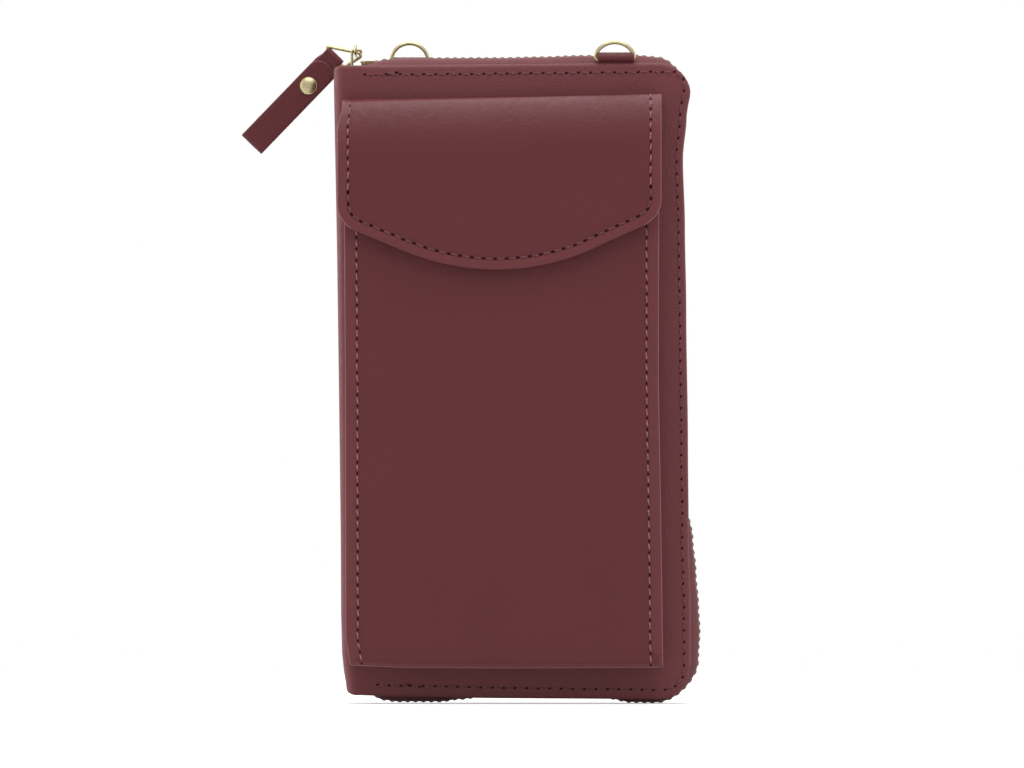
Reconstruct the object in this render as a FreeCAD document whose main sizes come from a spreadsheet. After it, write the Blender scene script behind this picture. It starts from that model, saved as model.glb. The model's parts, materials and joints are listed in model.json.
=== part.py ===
"""Zip-around phone wallet with a flapped phone pocket, two D-rings and a zip pull.

Millimetres. The wallet stands upright: +Z up, the pocket faces -Y, the spine is at -X.
The origin is the middle of the back cover's bottom edge, on the back cover's outer face.
"""
import FreeCAD, Part
import Sketcher
import math
import os

doc = FreeCAD.newDocument("phone_wallet")
sheet = doc.addObject("Spreadsheet::Sheet", "Sizes")

SIZES = {
    # covers and spine
    "cover_width": 104.0,
    "cover_height": 188.2,
    "wallet_depth": 18.0,
    "cover_leather": 1.2,
    "cover_corner": 10.0,
    "board_thickness": 0.8,
    "board_gap": 0.5,
    "lining_thickness": 0.6,
    "lining_inset": 2.5,
    "crease_gap": 0.3,
    # card slots on the inner sides
    "card_slot_margin": 6.0,
    "card_slot_leather": 0.5,
    "card_slot_step": 14.0,
    "card_slot_top": 150.0,
    "card_slot_bottom": 34.0,
    # zip tapes and teeth
    "tape_thickness": 0.6,
    "tape_margin": 7.0,
    "tape_parting": 2.8,
    "zip_rise": 1.2,
    "zip_bulge": 0.6,
    "zip_foot": 0.9,
    "zip_start": 1.0,
    "tooth_pitch": 2.3,
    "tooth_width": 0.95,
    "tooth_height": 2.0,
    "tooth_lap": 0.2,
    "stop_length": 0.9,
    "stop_height": 1.0,
    # zip slider and its bridge
    "slider_length": 8.0,
    "slider_width": 6.8,
    "slider_plate": 0.6,
    "slider_play": 0.3,
    "slider_flange": 0.8,
    "slider_post_length": 2.0,
    "slider_post_width": 1.2,
    "slider_start": 1.3,
    "bridge_wire": 0.9,
    "bridge_foot": 1.0,
    "bridge_length": 6.4,
    # pull link and triangle ring
    "link_wire": 0.9,
    "link_play": 0.2,
    "link_sag": 0.5,
    "ring_wire": 1.1,
    "ring_base": 12.4,
    "ring_depth": 6.9,
    "ring_skew": 4.4,
    "ring_hook_past": 2.25,
    "ring_hook_drop": 0.35,
    "ring_bend": 0.8,
    "pull_slant_angle": 46.0,
    "pull_standoff": 3.3,
    # pull strap and rivet
    "strap_width": 8.2,
    "strap_length": 35.8,
    "strap_neck": 6.8,
    "strap_shoulder": 1.0,
    "strap_leather": 1.1,
    "strap_fold_leather": 0.6,
    "strap_loop_play": 0.15,
    "rivet_head": 5.3,
    "rivet_head_height": 0.8,
    "rivet_shank": 2.0,
    "rivet_place": 11.3,
    # D-rings and tabs
    "dring_margin": 21.4,
    "dring_bow": 5.8,
    "dring_wire": 1.2,
    "dring_rise": 1.5,
    "tab_width": 9.8,
    "tab_leather": 0.7,
    "tab_play": 0.12,
    "tab_slit": 0.4,
    # phone pocket
    "pocket_margin": 2.1,
    "pocket_width": 94.2,
    "pocket_bottom": 9.4,
    "mouth_drop": 9.2,
    "pocket_leather": 1.0,
    "pocket_backing": 0.8,
    "phone_depth": 8.2,
    "gusset_inset": 1.4,
    "gusset_pleat": 2.2,
    # flap and snap
    "flap_margin": 0.8,
    "flap_width": 95.2,
    "flap_drop": 9.0,
    "flap_fall": 38.1,
    "flap_slope_angle": 23.5,
    "flap_corner": 5.5,
    "flap_tip": 78.0,
    "flap_leather": 1.0,
    "flap_lining": 0.5,
    "flap_lining_inset": 2.0,
    "flap_crease_gap": 0.2,
    "flap_root_gap": 1.1,
    "snap_room": 2.0,
    "snap_radius": 6.0,
    "snap_socket_height": 1.4,
    "snap_plate": 0.5,
    "snap_stud_radius": 2.4,
    "snap_play": 0.2,
    "snap_up": 16.4,
}
CARD_SLOTS = 5
# Points closer than this are one point.
NEAR = 1e-4

for row, (alias, number) in enumerate(SIZES.items(), start=1):
    sheet.set(f"A{row}", alias)
    sheet.set(f"B{row}", str(number))
    sheet.setAlias(f"B{row}", alias)
doc.recompute()


def size(name):
    """The expression that reads one cell of the sheet."""
    return f"Sizes.{name}"


def add(*terms):
    """The expression for a sum; a term that starts with a minus is taken away."""
    return " + ".join(f"({term})" for term in terms)


def neg(term):
    return f"-({term})"


def half(term):
    return f"({term}) / 2"


def value(expression):
    """The number that an expression gives now."""
    found = sheet.evalExpression(expression)
    return float(getattr(found, "Value", found))


# Places that several pieces share, as expressions of the sheet.
LEFT = neg(half(size("cover_width")))
RIGHT = half(size("cover_width"))
TOP = size("cover_height")
FRONT = neg(size("wallet_depth"))
FRONT_INNER = add(FRONT, size("cover_leather"))
BACK_INNER = neg(size("cover_leather"))
FRONT_LINED = add(FRONT_INNER, size("board_thickness"))
BACK_LINED = add(BACK_INNER, neg(size("board_thickness")))
MIDDLE = half(FRONT)
CREASE_X = add(LEFT, half(size("cover_leather")))
CREASE_Y = add(FRONT, half(size("cover_leather")))
SPINE_INNER = add(LEFT, size("cover_leather"))
ZIP_LEFT = add(SPINE_INNER, size("zip_start"))
ZIP_RIGHT = add(RIGHT, size("zip_bulge"))
ZIP_TOP = add(TOP, size("zip_rise"))
ZIP_BOTTOM = size("zip_foot")
ZIP_CORNER = add(size("cover_corner"), size("zip_bulge"))
TAPE_INSET = add(size("tape_margin"), size("zip_rise"))
BOARD_INSET = add(TAPE_INSET, size("board_gap"))
BOARD_TOP = add(ZIP_TOP, neg(BOARD_INSET))
TAPE_MIDDLE_TOP = add(ZIP_TOP, neg(half(size("tape_thickness"))))
TOOTH_CREST = add(TAPE_MIDDLE_TOP, half(size("tooth_height")))
TOOTH_ROOT = add(TAPE_MIDDLE_TOP, neg(half(size("tooth_height"))))
SLIDER_LEFT = add(ZIP_LEFT, size("slider_start"))
SLIDER_RIGHT = add(SLIDER_LEFT, size("slider_length"))
PLATE_TOP = add(TOOTH_CREST, size("slider_play"), size("slider_plate"))
LINK_BEND = add(half(size("ring_wire")), size("link_play"), half(size("link_wire")))
BRIDGE_Z = add(PLATE_TOP, size("link_play"), half(size("link_wire")), LINK_BEND)
LINK_X = add(SLIDER_LEFT, size("bridge_foot"), size("link_play"), half(size("link_wire")))
LINK_END_Z = add(BRIDGE_Z, neg(size("link_sag")))
POCKET_LEFT = add(LEFT, size("pocket_margin"))
POCKET_RIGHT = add(POCKET_LEFT, size("pocket_width"))
BACKING_FRONT = add(FRONT, neg(size("pocket_backing")))
POCKET_INNER = add(BACKING_FRONT, neg(size("phone_depth")))
POCKET_FRONT = add(POCKET_INNER, neg(size("pocket_leather")))
FLAP_TOP = add(TOP, neg(size("flap_drop")))
MOUTH = add(FLAP_TOP, neg(size("mouth_drop")))
FLAP_LEFT = add(LEFT, size("flap_margin"))
FLAP_RIGHT = add(FLAP_LEFT, size("flap_width"))
FLAP_MIDDLE = half(add(FLAP_LEFT, FLAP_RIGHT))
FLAP_STACK = add(size("flap_leather"), size("flap_lining"))
FLAP_LINED = add(POCKET_FRONT, neg(size("snap_room")))
FLAP_INNER = add(FLAP_LINED, neg(size("flap_lining")))
FLAP_AXIS_Y = add(FLAP_LINED, neg(half(FLAP_STACK)))
FLAP_AXIS_Z = add(FLAP_TOP, neg(half(FLAP_STACK)))
ROOT_AXIS_Y = add(FRONT, neg(size("flap_root_gap")))
FLAP_SIDE = add(FLAP_TOP, neg(size("flap_fall")))
FLAP_POINT = add(FLAP_SIDE, f"-{half(size('flap_width'))} * tan({size('flap_slope_angle')} * 1deg)")
SNAP_Z = add(FLAP_POINT, size("snap_up"))
DRING_Z = add(TOP, size("dring_rise"))
TAB_LOW = add(BOARD_TOP, size("board_gap"))
DRING_X = add(RIGHT, neg(size("dring_margin")))
FRONT_DRING_Y = FRONT_LINED
BACK_DRING_Y = BACK_LINED

finished = []


def bind(thing, **expressions):
    """Tie properties of an object to expressions; two underscores stand for a dot."""
    for name, expression in expressions.items():
        thing.setExpression(name.replace("__", "."), expression)


def finish(thing, label):
    """Mark an object as one of the wallet's pieces."""
    thing.Label = label
    finished.append(thing)
    return thing


def polygon_sketch(body, name, corners, depth):
    """A closed polygon in a plane parallel to XZ, its corners tied to expressions."""
    sketch = body.newObject("Sketcher::SketchObject", name)
    plane = next(f for f in body.Origin.OriginFeatures if f.Role == "XZ_Plane")
    sketch.AttachmentSupport = (plane, [""])
    sketch.MapMode = "FlatFace"
    bind(sketch, AttachmentOffset__Base__z=neg(depth))
    places = [FreeCAD.Vector(value(x), value(z), 0) for x, z in corners]
    count = len(places)
    for i in range(count):
        sketch.addGeometry(Part.LineSegment(places[i], places[(i + 1) % count]), False)
    for i in range(count):
        sketch.addConstraint(Sketcher.Constraint("Coincident", i, 2, (i + 1) % count, 1))
    for i, (x, z) in enumerate(corners):
        across = sketch.addConstraint(Sketcher.Constraint("DistanceX", -1, 1, i, 1, places[i].x))
        up = sketch.addConstraint(Sketcher.Constraint("DistanceY", -1, 1, i, 1, places[i].y))
        sketch.setExpression(f"Constraints[{across}]", x)
        sketch.setExpression(f"Constraints[{up}]", z)
    return sketch


def edges_along_y(shape, x, z):
    """Names of the edges that run along Y through one corner of an outline."""
    found = []
    for i, edge in enumerate(shape.Edges, start=1):
        ends = [v.Point for v in edge.Vertexes]
        if len(ends) == 2 and all(abs(p.x - x) < NEAR and abs(p.z - z) < NEAR for p in ends):
            found.append(f"Edge{i}")
    return found


def prism(name, corners, depth, thickness, rounds=()):
    """A plate parallel to XZ: its back face at depth, its thickness towards -Y.

    rounds lists (some of the corners, radius) for the outline's rounded corners.
    """
    body = doc.addObject("PartDesign::Body", name)
    sketch = polygon_sketch(body, name + "_outline", corners, depth)
    pad = body.newObject("PartDesign::Pad", name + "_pad")
    pad.Profile = sketch
    bind(pad, Length=thickness)
    doc.recompute()
    last = pad
    for rounded, radius in rounds:
        edges = []
        for x, z in rounded:
            edges += edges_along_y(last.Shape, value(x), value(z))
        fillet = body.newObject("PartDesign::Fillet", name + "_round")
        fillet.Base = (last, edges)
        bind(fillet, Radius=radius)
        doc.recompute()
        last = fillet
    return body


def rectangle(left, right, bottom, top):
    """Corners of a rectangle: lower left, lower right, upper right, upper left."""
    return [(left, bottom), (right, bottom), (right, top), (left, top)]


def right_corners(outline):
    """The two corners of a rectangle away from the spine."""
    return outline[1:3]


def box(name, low, high):
    """A box between two corners, each given as three expressions."""
    thing = doc.addObject("Part::Box", name)
    bind(
        thing,
        Length=add(high[0], neg(low[0])),
        Width=add(high[1], neg(low[1])),
        Height=add(high[2], neg(low[2])),
        Placement__Base__x=low[0],
        Placement__Base__y=low[1],
        Placement__Base__z=low[2],
    )
    return thing


AXIS_TURNS = {
    "X": FreeCAD.Rotation(FreeCAD.Vector(0, 1, 0), 90),
    "Y": FreeCAD.Rotation(FreeCAD.Vector(1, 0, 0), -90),
    "Z": FreeCAD.Rotation(),
}


def rod(name, axis, start, radius, length):
    """A cylinder along +X, +Y or +Z from a start point."""
    thing = doc.addObject("Part::Cylinder", name)
    thing.Placement = FreeCAD.Placement(FreeCAD.Vector(), AXIS_TURNS[axis])
    bind(
        thing,
        Radius=radius,
        Height=length,
        Placement__Base__x=start[0],
        Placement__Base__y=start[1],
        Placement__Base__z=start[2],
    )
    return thing


def fuse(name, *things):
    joined = doc.addObject("Part::MultiFuse", name)
    joined.Shapes = list(things)
    joined.Refine = True
    return joined


def cut(name, base, tool):
    left = doc.addObject("Part::Cut", name)
    left.Base = base
    left.Tool = tool
    return left


def make_covers():
    """Outer leather of the covers and spine, boards, linings."""
    leather = size("cover_leather")
    corner = size("cover_corner")
    board = size("board_thickness")
    lining = size("lining_thickness")
    inset = size("lining_inset")
    outline = rectangle(LEFT, RIGHT, "0", TOP)
    rounds = [(right_corners(outline), corner)]
    finish(prism("back_cover", outline, "0", leather, rounds), "back_cover")

    # The front cover's spine edge is round about the crease that it opens on.
    leaf_outline = rectangle(CREASE_X, RIGHT, "0", TOP)
    leaf = prism("front_leaf", leaf_outline, FRONT_INNER, leather, rounds)
    edge = rod("front_crease", "Z", (CREASE_X, CREASE_Y, "0"), half(leather), TOP)
    finish(fuse("front_cover", leaf, edge), "front_cover")

    spine_front = add(FRONT_INNER, size("crease_gap"))
    spine_depth = add(BACK_INNER, neg(spine_front))
    spine_outline = rectangle(LEFT, SPINE_INNER, "0", TOP)
    finish(prism("spine_panel", spine_outline, BACK_INNER, spine_depth), "spine_panel")

    board_outline = rectangle(
        add(SPINE_INNER, inset), add(ZIP_RIGHT, neg(BOARD_INSET)), add(ZIP_BOTTOM, BOARD_INSET), BOARD_TOP
    )
    board_rounds = [(right_corners(board_outline), add(ZIP_CORNER, neg(TAPE_INSET)))]
    finish(prism("back_board", board_outline, BACK_INNER, board, board_rounds), "back_board")
    finish(prism("front_board", board_outline, FRONT_LINED, board, board_rounds), "front_board")

    lining_outline = rectangle(
        add(SPINE_INNER, lining, size("crease_gap")), add(RIGHT, neg(inset)), inset, add(TOP, neg(inset))
    )
    lining_rounds = [(right_corners(lining_outline), add(corner, neg(inset)))]
    front_depth = add(FRONT_LINED, lining)
    finish(prism("back_lining", lining_outline, BACK_LINED, lining, lining_rounds), "back_lining")
    finish(prism("front_lining", lining_outline, front_depth, lining, lining_rounds), "front_lining")

    spine_lining_front = add(front_depth, size("crease_gap"))
    spine_lining_depth = add(BACK_INNER, neg(spine_lining_front))
    spine_lining_outline = rectangle(SPINE_INNER, add(SPINE_INNER, lining), inset, add(TOP, neg(inset)))
    spine_lining = prism("spine_lining", spine_lining_outline, BACK_INNER, spine_lining_depth)
    finish(spine_lining, "spine_lining")


def make_card_slots():
    """Stepped card slot panels, the one with the highest edge next to the lining."""
    leather = size("card_slot_leather")
    lining = size("lining_thickness")
    reach = add(RIGHT, neg(size("card_slot_margin")))
    for k in range(CARD_SLOTS):
        edge = add(size("card_slot_top"), f"-{k} * {size('card_slot_step')}")
        outline = rectangle(neg(reach), reach, size("card_slot_bottom"), edge)
        back = add(BACK_LINED, neg(lining), f"-{k} * {leather}")
        front = add(FRONT_LINED, lining, f"{k + 1} * {leather}")
        label = f"card_slot_{k + 1}"
        finish(prism("back_" + label, outline, back, leather), "back_" + label)
        finish(prism("front_" + label, outline, front, leather), "front_" + label)


def zip_band(name, inset, depth, thickness):
    """A U-shaped band along top, right side and bottom, inset wide inwards."""
    outer = rectangle(ZIP_LEFT, ZIP_RIGHT, ZIP_BOTTOM, ZIP_TOP)
    inner = rectangle(
        LEFT, add(ZIP_RIGHT, neg(inset)), add(ZIP_BOTTOM, inset), add(ZIP_TOP, neg(inset))
    )
    outer_rounds = [(right_corners(outer), ZIP_CORNER)]
    inner_rounds = [(right_corners(inner), add(ZIP_CORNER, neg(inset)))]
    whole = prism(name + "_whole", outer, depth, thickness, outer_rounds)
    middle = prism(name + "_middle", inner, depth, thickness, inner_rounds)
    return cut(name, whole, middle)


def make_tapes():
    """Two zip tapes: a margin sewn inside the cover and a wall towards the teeth."""
    board = size("board_thickness")
    parting = half(size("tape_parting"))
    front_edge = add(MIDDLE, neg(parting))
    back_edge = add(MIDDLE, parting)
    slit_half = add(size("dring_bow"), half(size("dring_wire")), size("tab_slit"))
    slit_deep = add(size("tab_leather"), half(size("dring_wire")), size("tab_play"), size("tab_slit"))
    slit_low = add(TAB_LOW, neg(size("tab_slit")))
    slit_high = add(ZIP_TOP, size("tape_thickness"))
    sides = {
        "front": (front_edge, add(front_edge, neg(FRONT_INNER)), FRONT_LINED, FRONT_INNER,
                  add(FRONT_DRING_Y, slit_deep), DRING_X),
        "back": (BACK_INNER, add(BACK_INNER, neg(back_edge)), BACK_INNER,
                 add(BACK_DRING_Y, neg(slit_deep)), BACK_INNER, neg(DRING_X)),
    }
    for side, (wall_back, wall_depth, margin_back, slit_front, slit_back, ring_x) in sides.items():
        wall = zip_band(side + "_tape_wall", size("tape_thickness"), wall_back, wall_depth)
        edge = zip_band(side + "_tape_margin", TAPE_INSET, margin_back, board)
        slit = box(
            side + "_tab_slit",
            (add(ring_x, neg(slit_half)), slit_front, slit_low),
            (add(ring_x, slit_half), slit_back, slit_high),
        )
        tape = cut(side + "_zip_tape", fuse(side + "_tape", wall, edge), slit)
        finish(tape, side + "_zip_tape")


def zip_path():
    """Straight and round runs of the teeth line in XZ, from the slider round to the spine again.

    Each run is (start, heading, length, turn radius or None), with the heading in degrees from +X.
    """
    inset = half(size("tape_thickness"))
    right = value(add(ZIP_RIGHT, neg(inset)))
    top = value(add(ZIP_TOP, neg(inset)))
    bottom = value(add(ZIP_BOTTOM, inset))
    radius = value(add(ZIP_CORNER, neg(inset)))
    start = value(SLIDER_RIGHT)
    end = value(add(ZIP_LEFT, size("stop_length")))
    quarter = radius * math.pi / 2
    return [
        ((start, top), 0, right - radius - start, None),
        ((right - radius, top), 0, quarter, radius),
        ((right, top - radius), -90, top - bottom - 2 * radius, None),
        ((right, bottom + radius), -90, quarter, radius),
        ((right - radius, bottom), -180, right - radius - end, None),
    ]


def place_on_path(runs, along):
    """Point in XZ and heading in degrees at a distance along the runs, which turn clockwise."""
    for (x, z), heading, length, radius in runs:
        if along > length:
            along -= length
            continue
        ahead = math.radians(heading)
        if radius is None:
            return x + along * math.cos(ahead), z + along * math.sin(ahead), heading
        centre_x = x + radius * math.sin(ahead)
        centre_z = z - radius * math.cos(ahead)
        spoke = ahead + math.pi / 2 - along / radius
        turned = heading - math.degrees(along / radius)
        return centre_x + radius * math.cos(spoke), centre_z + radius * math.sin(spoke), turned
    raise ValueError("the place is past the end of the zip")


def make_teeth():
    """Two interlocked rows of teeth on the tapes' edges, half a pitch apart."""
    runs = zip_path()
    total = sum(run[2] for run in runs)
    pitch = value(size("tooth_pitch"))
    width = value(size("tooth_width"))
    height = value(size("tooth_height"))
    parting = value(half(size("tape_parting")))
    reach = parting + value(size("tooth_lap"))
    middle = value(MIDDLE)
    count = int((total - pitch) / pitch)
    for side, shift, y in (("front", 0.25, middle - parting), ("back", 0.75, middle - reach + parting)):
        teeth = []
        for i in range(count):
            x, z, heading = place_on_path(runs, (i + shift) * pitch + width)
            tooth = Part.makeBox(width, reach, height, FreeCAD.Vector(-width / 2, 0, -height / 2))
            turn = FreeCAD.Rotation(FreeCAD.Vector(0, 1, 0), -heading)
            tooth.Placement = FreeCAD.Placement(FreeCAD.Vector(x, y, z), turn)
            teeth.append(tooth)
        row = doc.addObject("Part::Feature", side + "_zip_teeth")
        row.Shape = Part.makeCompound(teeth)
        finish(row, side + "_zip_teeth")


def make_stops():
    """Stops on each tape's edge, at the top beside the slider and at the bottom end."""
    parting = half(size("tape_parting"))
    apart = half(size("tooth_lap"))
    tall = half(size("stop_height"))
    bottom_line = add(ZIP_BOTTOM, half(size("tape_thickness")))
    stop_end = add(ZIP_LEFT, size("stop_length"))
    sides = {
        "front": (add(MIDDLE, neg(parting)), add(MIDDLE, neg(apart))),
        "back": (add(MIDDLE, apart), add(MIDDLE, parting)),
    }
    for side, (near, far) in sides.items():
        pair = doc.addObject("Part::Compound", side + "_zip_stops")
        pair.Links = [
            box(
                f"{side}_{end}_stop",
                (ZIP_LEFT, near, add(line, neg(tall))),
                (stop_end, far, add(line, tall)),
            )
            for end, line in (("top", TAPE_MIDDLE_TOP), ("bottom", bottom_line))
        ]
        finish(pair, side + "_zip_stops")


def make_slider():
    """Slider: two plates with flanges beside the teeth, a post and a bridge for the pull."""
    wide = half(size("slider_width"))
    front = add(MIDDLE, neg(wide))
    back = add(MIDDLE, wide)
    flange = size("slider_flange")
    under_top = add(TOOTH_CREST, size("slider_play"))
    over_bottom = add(TOOTH_ROOT, neg(size("slider_play")))
    tape_top = add(ZIP_TOP, size("slider_play"))
    tape_under = add(ZIP_TOP, neg(size("tape_thickness")), neg(size("slider_play")))
    post = half(size("slider_post_width"))
    post_end = add(SLIDER_LEFT, size("slider_post_length"))
    bridge_half = half(size("bridge_wire"))
    bridge_end = add(SLIDER_LEFT, size("bridge_length"))
    foot = size("bridge_foot")
    bottom = add(over_bottom, neg(size("slider_plate")))
    pieces = [
        box("slider_top", (SLIDER_LEFT, front, under_top), (SLIDER_RIGHT, back, PLATE_TOP)),
        box("slider_bottom", (SLIDER_LEFT, front, bottom), (SLIDER_RIGHT, back, over_bottom)),
        box(
            "slider_post",
            (SLIDER_LEFT, add(MIDDLE, neg(post)), over_bottom),
            (post_end, add(MIDDLE, post), under_top),
        ),
        rod("bridge_bar", "X", (SLIDER_LEFT, MIDDLE, BRIDGE_Z), bridge_half, size("bridge_length")),
    ]
    for side, near, far in (("front", front, add(front, flange)), ("back", add(back, neg(flange)), back)):
        pieces.append(
            box(f"slider_{side}_top_flange", (SLIDER_LEFT, near, tape_top), (SLIDER_RIGHT, far, under_top))
        )
        pieces.append(
            box(
                f"slider_{side}_low_flange",
                (SLIDER_LEFT, near, over_bottom),
                (SLIDER_RIGHT, far, tape_under),
            )
        )
    for end, near, far in (
        ("left", SLIDER_LEFT, add(SLIDER_LEFT, foot)),
        ("right", add(bridge_end, neg(foot)), bridge_end),
    ):
        pieces.append(
            box(
                f"bridge_{end}_foot",
                (near, add(MIDDLE, neg(bridge_half)), PLATE_TOP),
                (far, add(MIDDLE, bridge_half), BRIDGE_Z),
            )
        )
    finish(fuse("zip_slider", *pieces), "zip_slider")


def wire_loop(label, corners, bend, thickness):
    """A closed wire of round section along a flat polygon with rounded corners."""
    starts, ends, arcs = [], [], []
    count = len(corners)
    for i in range(count):
        here = corners[i]
        before = (corners[i - 1] - here).normalize()
        after = (corners[(i + 1) % count] - here).normalize()
        half_angle = before.getAngle(after) / 2
        reach = bend / math.tan(half_angle)
        inward = (before + after).normalize()
        middle = here + inward * (bend / math.sin(half_angle) - bend)
        starts.append(here + before * reach)
        ends.append(here + after * reach)
        arcs.append(Part.Arc(starts[-1], middle, ends[-1]).toShape())
    edges = []
    for i in range(count):
        edges.append(arcs[i])
        goal = starts[(i + 1) % count]
        if (goal - ends[i]).Length > NEAR:
            edges.append(Part.LineSegment(ends[i], goal).toShape())
    path = Part.Wire(edges)
    heading = edges[0].tangentAt(edges[0].FirstParameter)
    section = Part.Wire(Part.makeCircle(thickness / 2, starts[0], heading))
    loop = doc.addObject("Part::Feature", label)
    loop.Shape = path.makePipeShell([section], True, False)
    return finish(loop, label)


def pull_frame():
    """Where the pull lies: hooked corner, middle of the ring's bar, strap and bar directions."""
    slant = math.radians(value(size("pull_slant_angle")))
    down = FreeCAD.Vector(-math.cos(slant), 0, -math.sin(slant))
    bar = FreeCAD.Vector(math.sin(slant), 0, -math.cos(slant))
    hook = FreeCAD.Vector(
        value(add(LINK_X, size("ring_hook_past"))),
        value(size("pull_standoff")),
        value(add(LINK_END_Z, neg(size("ring_hook_drop")))),
    )
    middle = hook + down * value(size("ring_depth")) - bar * value(size("ring_skew"))
    return hook, middle, down, bar


def make_pull():
    """Link on the slider's bridge, triangle ring, folded strap and its rivet."""
    bend = value(LINK_BEND)
    x = value(LINK_X)
    near = FreeCAD.Vector(x, value(MIDDLE), value(BRIDGE_Z))
    far = FreeCAD.Vector(x, value(size("pull_standoff")), value(LINK_END_Z))
    along = (far - near).normalize()
    up = FreeCAD.Vector(1, 0, 0).cross(along)
    link_corners = [
        near - along * bend - up * bend,
        far + along * bend - up * bend,
        far + along * bend + up * bend,
        near - along * bend + up * bend,
    ]
    wire_loop("pull_link", link_corners, bend, value(size("link_wire")))

    hook, middle, down, bar = pull_frame()
    half_base = value(half(size("ring_base")))
    ring_corners = [middle - bar * half_base, hook, middle + bar * half_base]
    wire_loop("pull_ring", ring_corners, value(size("ring_bend")), value(size("ring_wire")))

    # In the strap's own frame X runs down the strap, Y along the ring's bar and Z to the front.
    front = FreeCAD.Vector(0, -1, 0)
    frame = FreeCAD.Placement(middle, FreeCAD.Rotation(down, bar, front, "XYZ"))
    bar_turn = AXIS_TURNS["Y"]

    def in_frame(thing, x, y, z, turn=FreeCAD.Rotation()):
        thing.Placement = frame * FreeCAD.Placement(FreeCAD.Vector(x, y, z), turn)
        return thing

    leather = value(size("strap_leather"))
    shoulder = value(size("strap_shoulder"))
    half_width = value(half(size("strap_width")))
    half_neck = value(half(size("strap_neck")))
    rivet_x = value(size("rivet_place"))
    hole = add(half(size("ring_wire")), size("strap_loop_play"))
    layers = doc.addObject("Part::Box", "strap_layers")
    bind(layers, Length=add(size("strap_length"), neg(size("strap_shoulder"))), Width=size("strap_width"))
    bind(layers, Height=f"2 * {size('strap_leather')}")
    in_frame(layers, shoulder, -half_width, -leather)
    neck = doc.addObject("Part::Box", "strap_fold")
    bind(neck, Length=size("strap_shoulder"), Width=size("strap_neck"))
    bind(neck, Height=f"2 * {size('strap_leather')}")
    in_frame(neck, 0, -half_neck, -leather)
    loop = doc.addObject("Part::Cylinder", "strap_loop")
    bind(loop, Radius=add(hole, size("strap_fold_leather")), Height=size("strap_neck"))
    in_frame(loop, 0, -half_neck, 0, bar_turn)
    bore = doc.addObject("Part::Cylinder", "strap_bore")
    bind(bore, Radius=hole, Height=size("strap_neck"))
    in_frame(bore, 0, -half_neck, 0, bar_turn)
    punch = doc.addObject("Part::Cylinder", "strap_punch")
    bind(punch, Radius=half(size("rivet_shank")), Height=f"2 * {size('strap_leather')}")
    in_frame(punch, rivet_x, 0, -leather)
    folded = fuse("strap_folded", layers, neck, loop)
    finish(cut("pull_strap", cut("strap_bored", folded, bore), punch), "pull_strap")

    shank = doc.addObject("Part::Cylinder", "rivet_shank")
    bind(shank, Radius=half(size("rivet_shank")), Height=f"2 * {size('strap_leather')}")
    in_frame(shank, rivet_x, 0, -leather)
    back_head = doc.addObject("Part::Cylinder", "rivet_back_head")
    bind(back_head, Radius=half(size("rivet_head")), Height=size("rivet_head_height"))
    in_frame(back_head, rivet_x, 0, -leather - value(size("rivet_head_height")))
    finish(fuse("rivet_post", shank, back_head), "rivet_post")
    cap = doc.addObject("Part::Cylinder", "rivet_cap")
    bind(cap, Radius=half(size("rivet_head")), Height=size("rivet_head_height"))
    in_frame(cap, rivet_x, 0, leather)
    finish(cap, "rivet_cap")


def make_drings():
    """D-rings on the top edge, each with its bar in a leather tab sewn into the seam."""
    wire = half(size("dring_wire"))
    bow = size("dring_bow")
    bore = add(wire, size("tab_play"))
    sides = {
        "right": (DRING_X, FRONT_DRING_Y, FRONT_INNER, FRONT_LINED),
        "left": (neg(DRING_X), BACK_DRING_Y, BACK_LINED, BACK_INNER),
    }
    for side, (x, y, tail_front, tail_back) in sides.items():
        arch = doc.addObject("Part::Torus", side + "_bow")
        arch.Angle3 = 180
        arch.Placement = FreeCAD.Placement(FreeCAD.Vector(), FreeCAD.Rotation(FreeCAD.Vector(1, 0, 0), 90))
        bind(arch, Radius1=bow, Radius2=wire)
        bind(arch, Placement__Base__x=x, Placement__Base__y=y, Placement__Base__z=DRING_Z)
        pieces = [arch, rod(side + "_bar", "X", (add(x, neg(bow)), y, DRING_Z), wire, f"2 * {bow}")]
        for end, place in (("near", add(x, neg(bow))), ("far", add(x, bow))):
            corner = doc.addObject("Part::Sphere", f"{side}_{end}_corner")
            bind(corner, Radius=wire)
            bind(corner, Placement__Base__x=place, Placement__Base__y=y, Placement__Base__z=DRING_Z)
            pieces.append(corner)
        finish(fuse(side + "_dring", *pieces), side + "_dring")

        width = size("tab_width")
        start = add(x, neg(half(width)))
        roll = rod(side + "_tab_roll", "X", (start, y, DRING_Z), add(bore, size("tab_leather")), width)
        hole = rod(side + "_tab_hole", "X", (start, y, DRING_Z), bore, width)
        tail = box(
            side + "_tab_tail",
            (start, tail_front, TAB_LOW),
            (add(x, half(width)), tail_back, DRING_Z),
        )
        finish(cut(side + "_dring_tab", fuse(side + "_tab", roll, tail), hole), side + "_dring_tab")


def loft(body, kind, name, sections):
    """A ruled loft of a body through rectangles; each section is (corners, depth)."""
    sketches = [
        polygon_sketch(body, f"{name}_{i}", corners, depth) for i, (corners, depth) in enumerate(sections)
    ]
    feature = body.newObject(kind, name)
    feature.Profile = sketches[0]
    feature.Sections = sketches[1:]
    feature.Ruled = True
    doc.recompute()
    return feature


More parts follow.
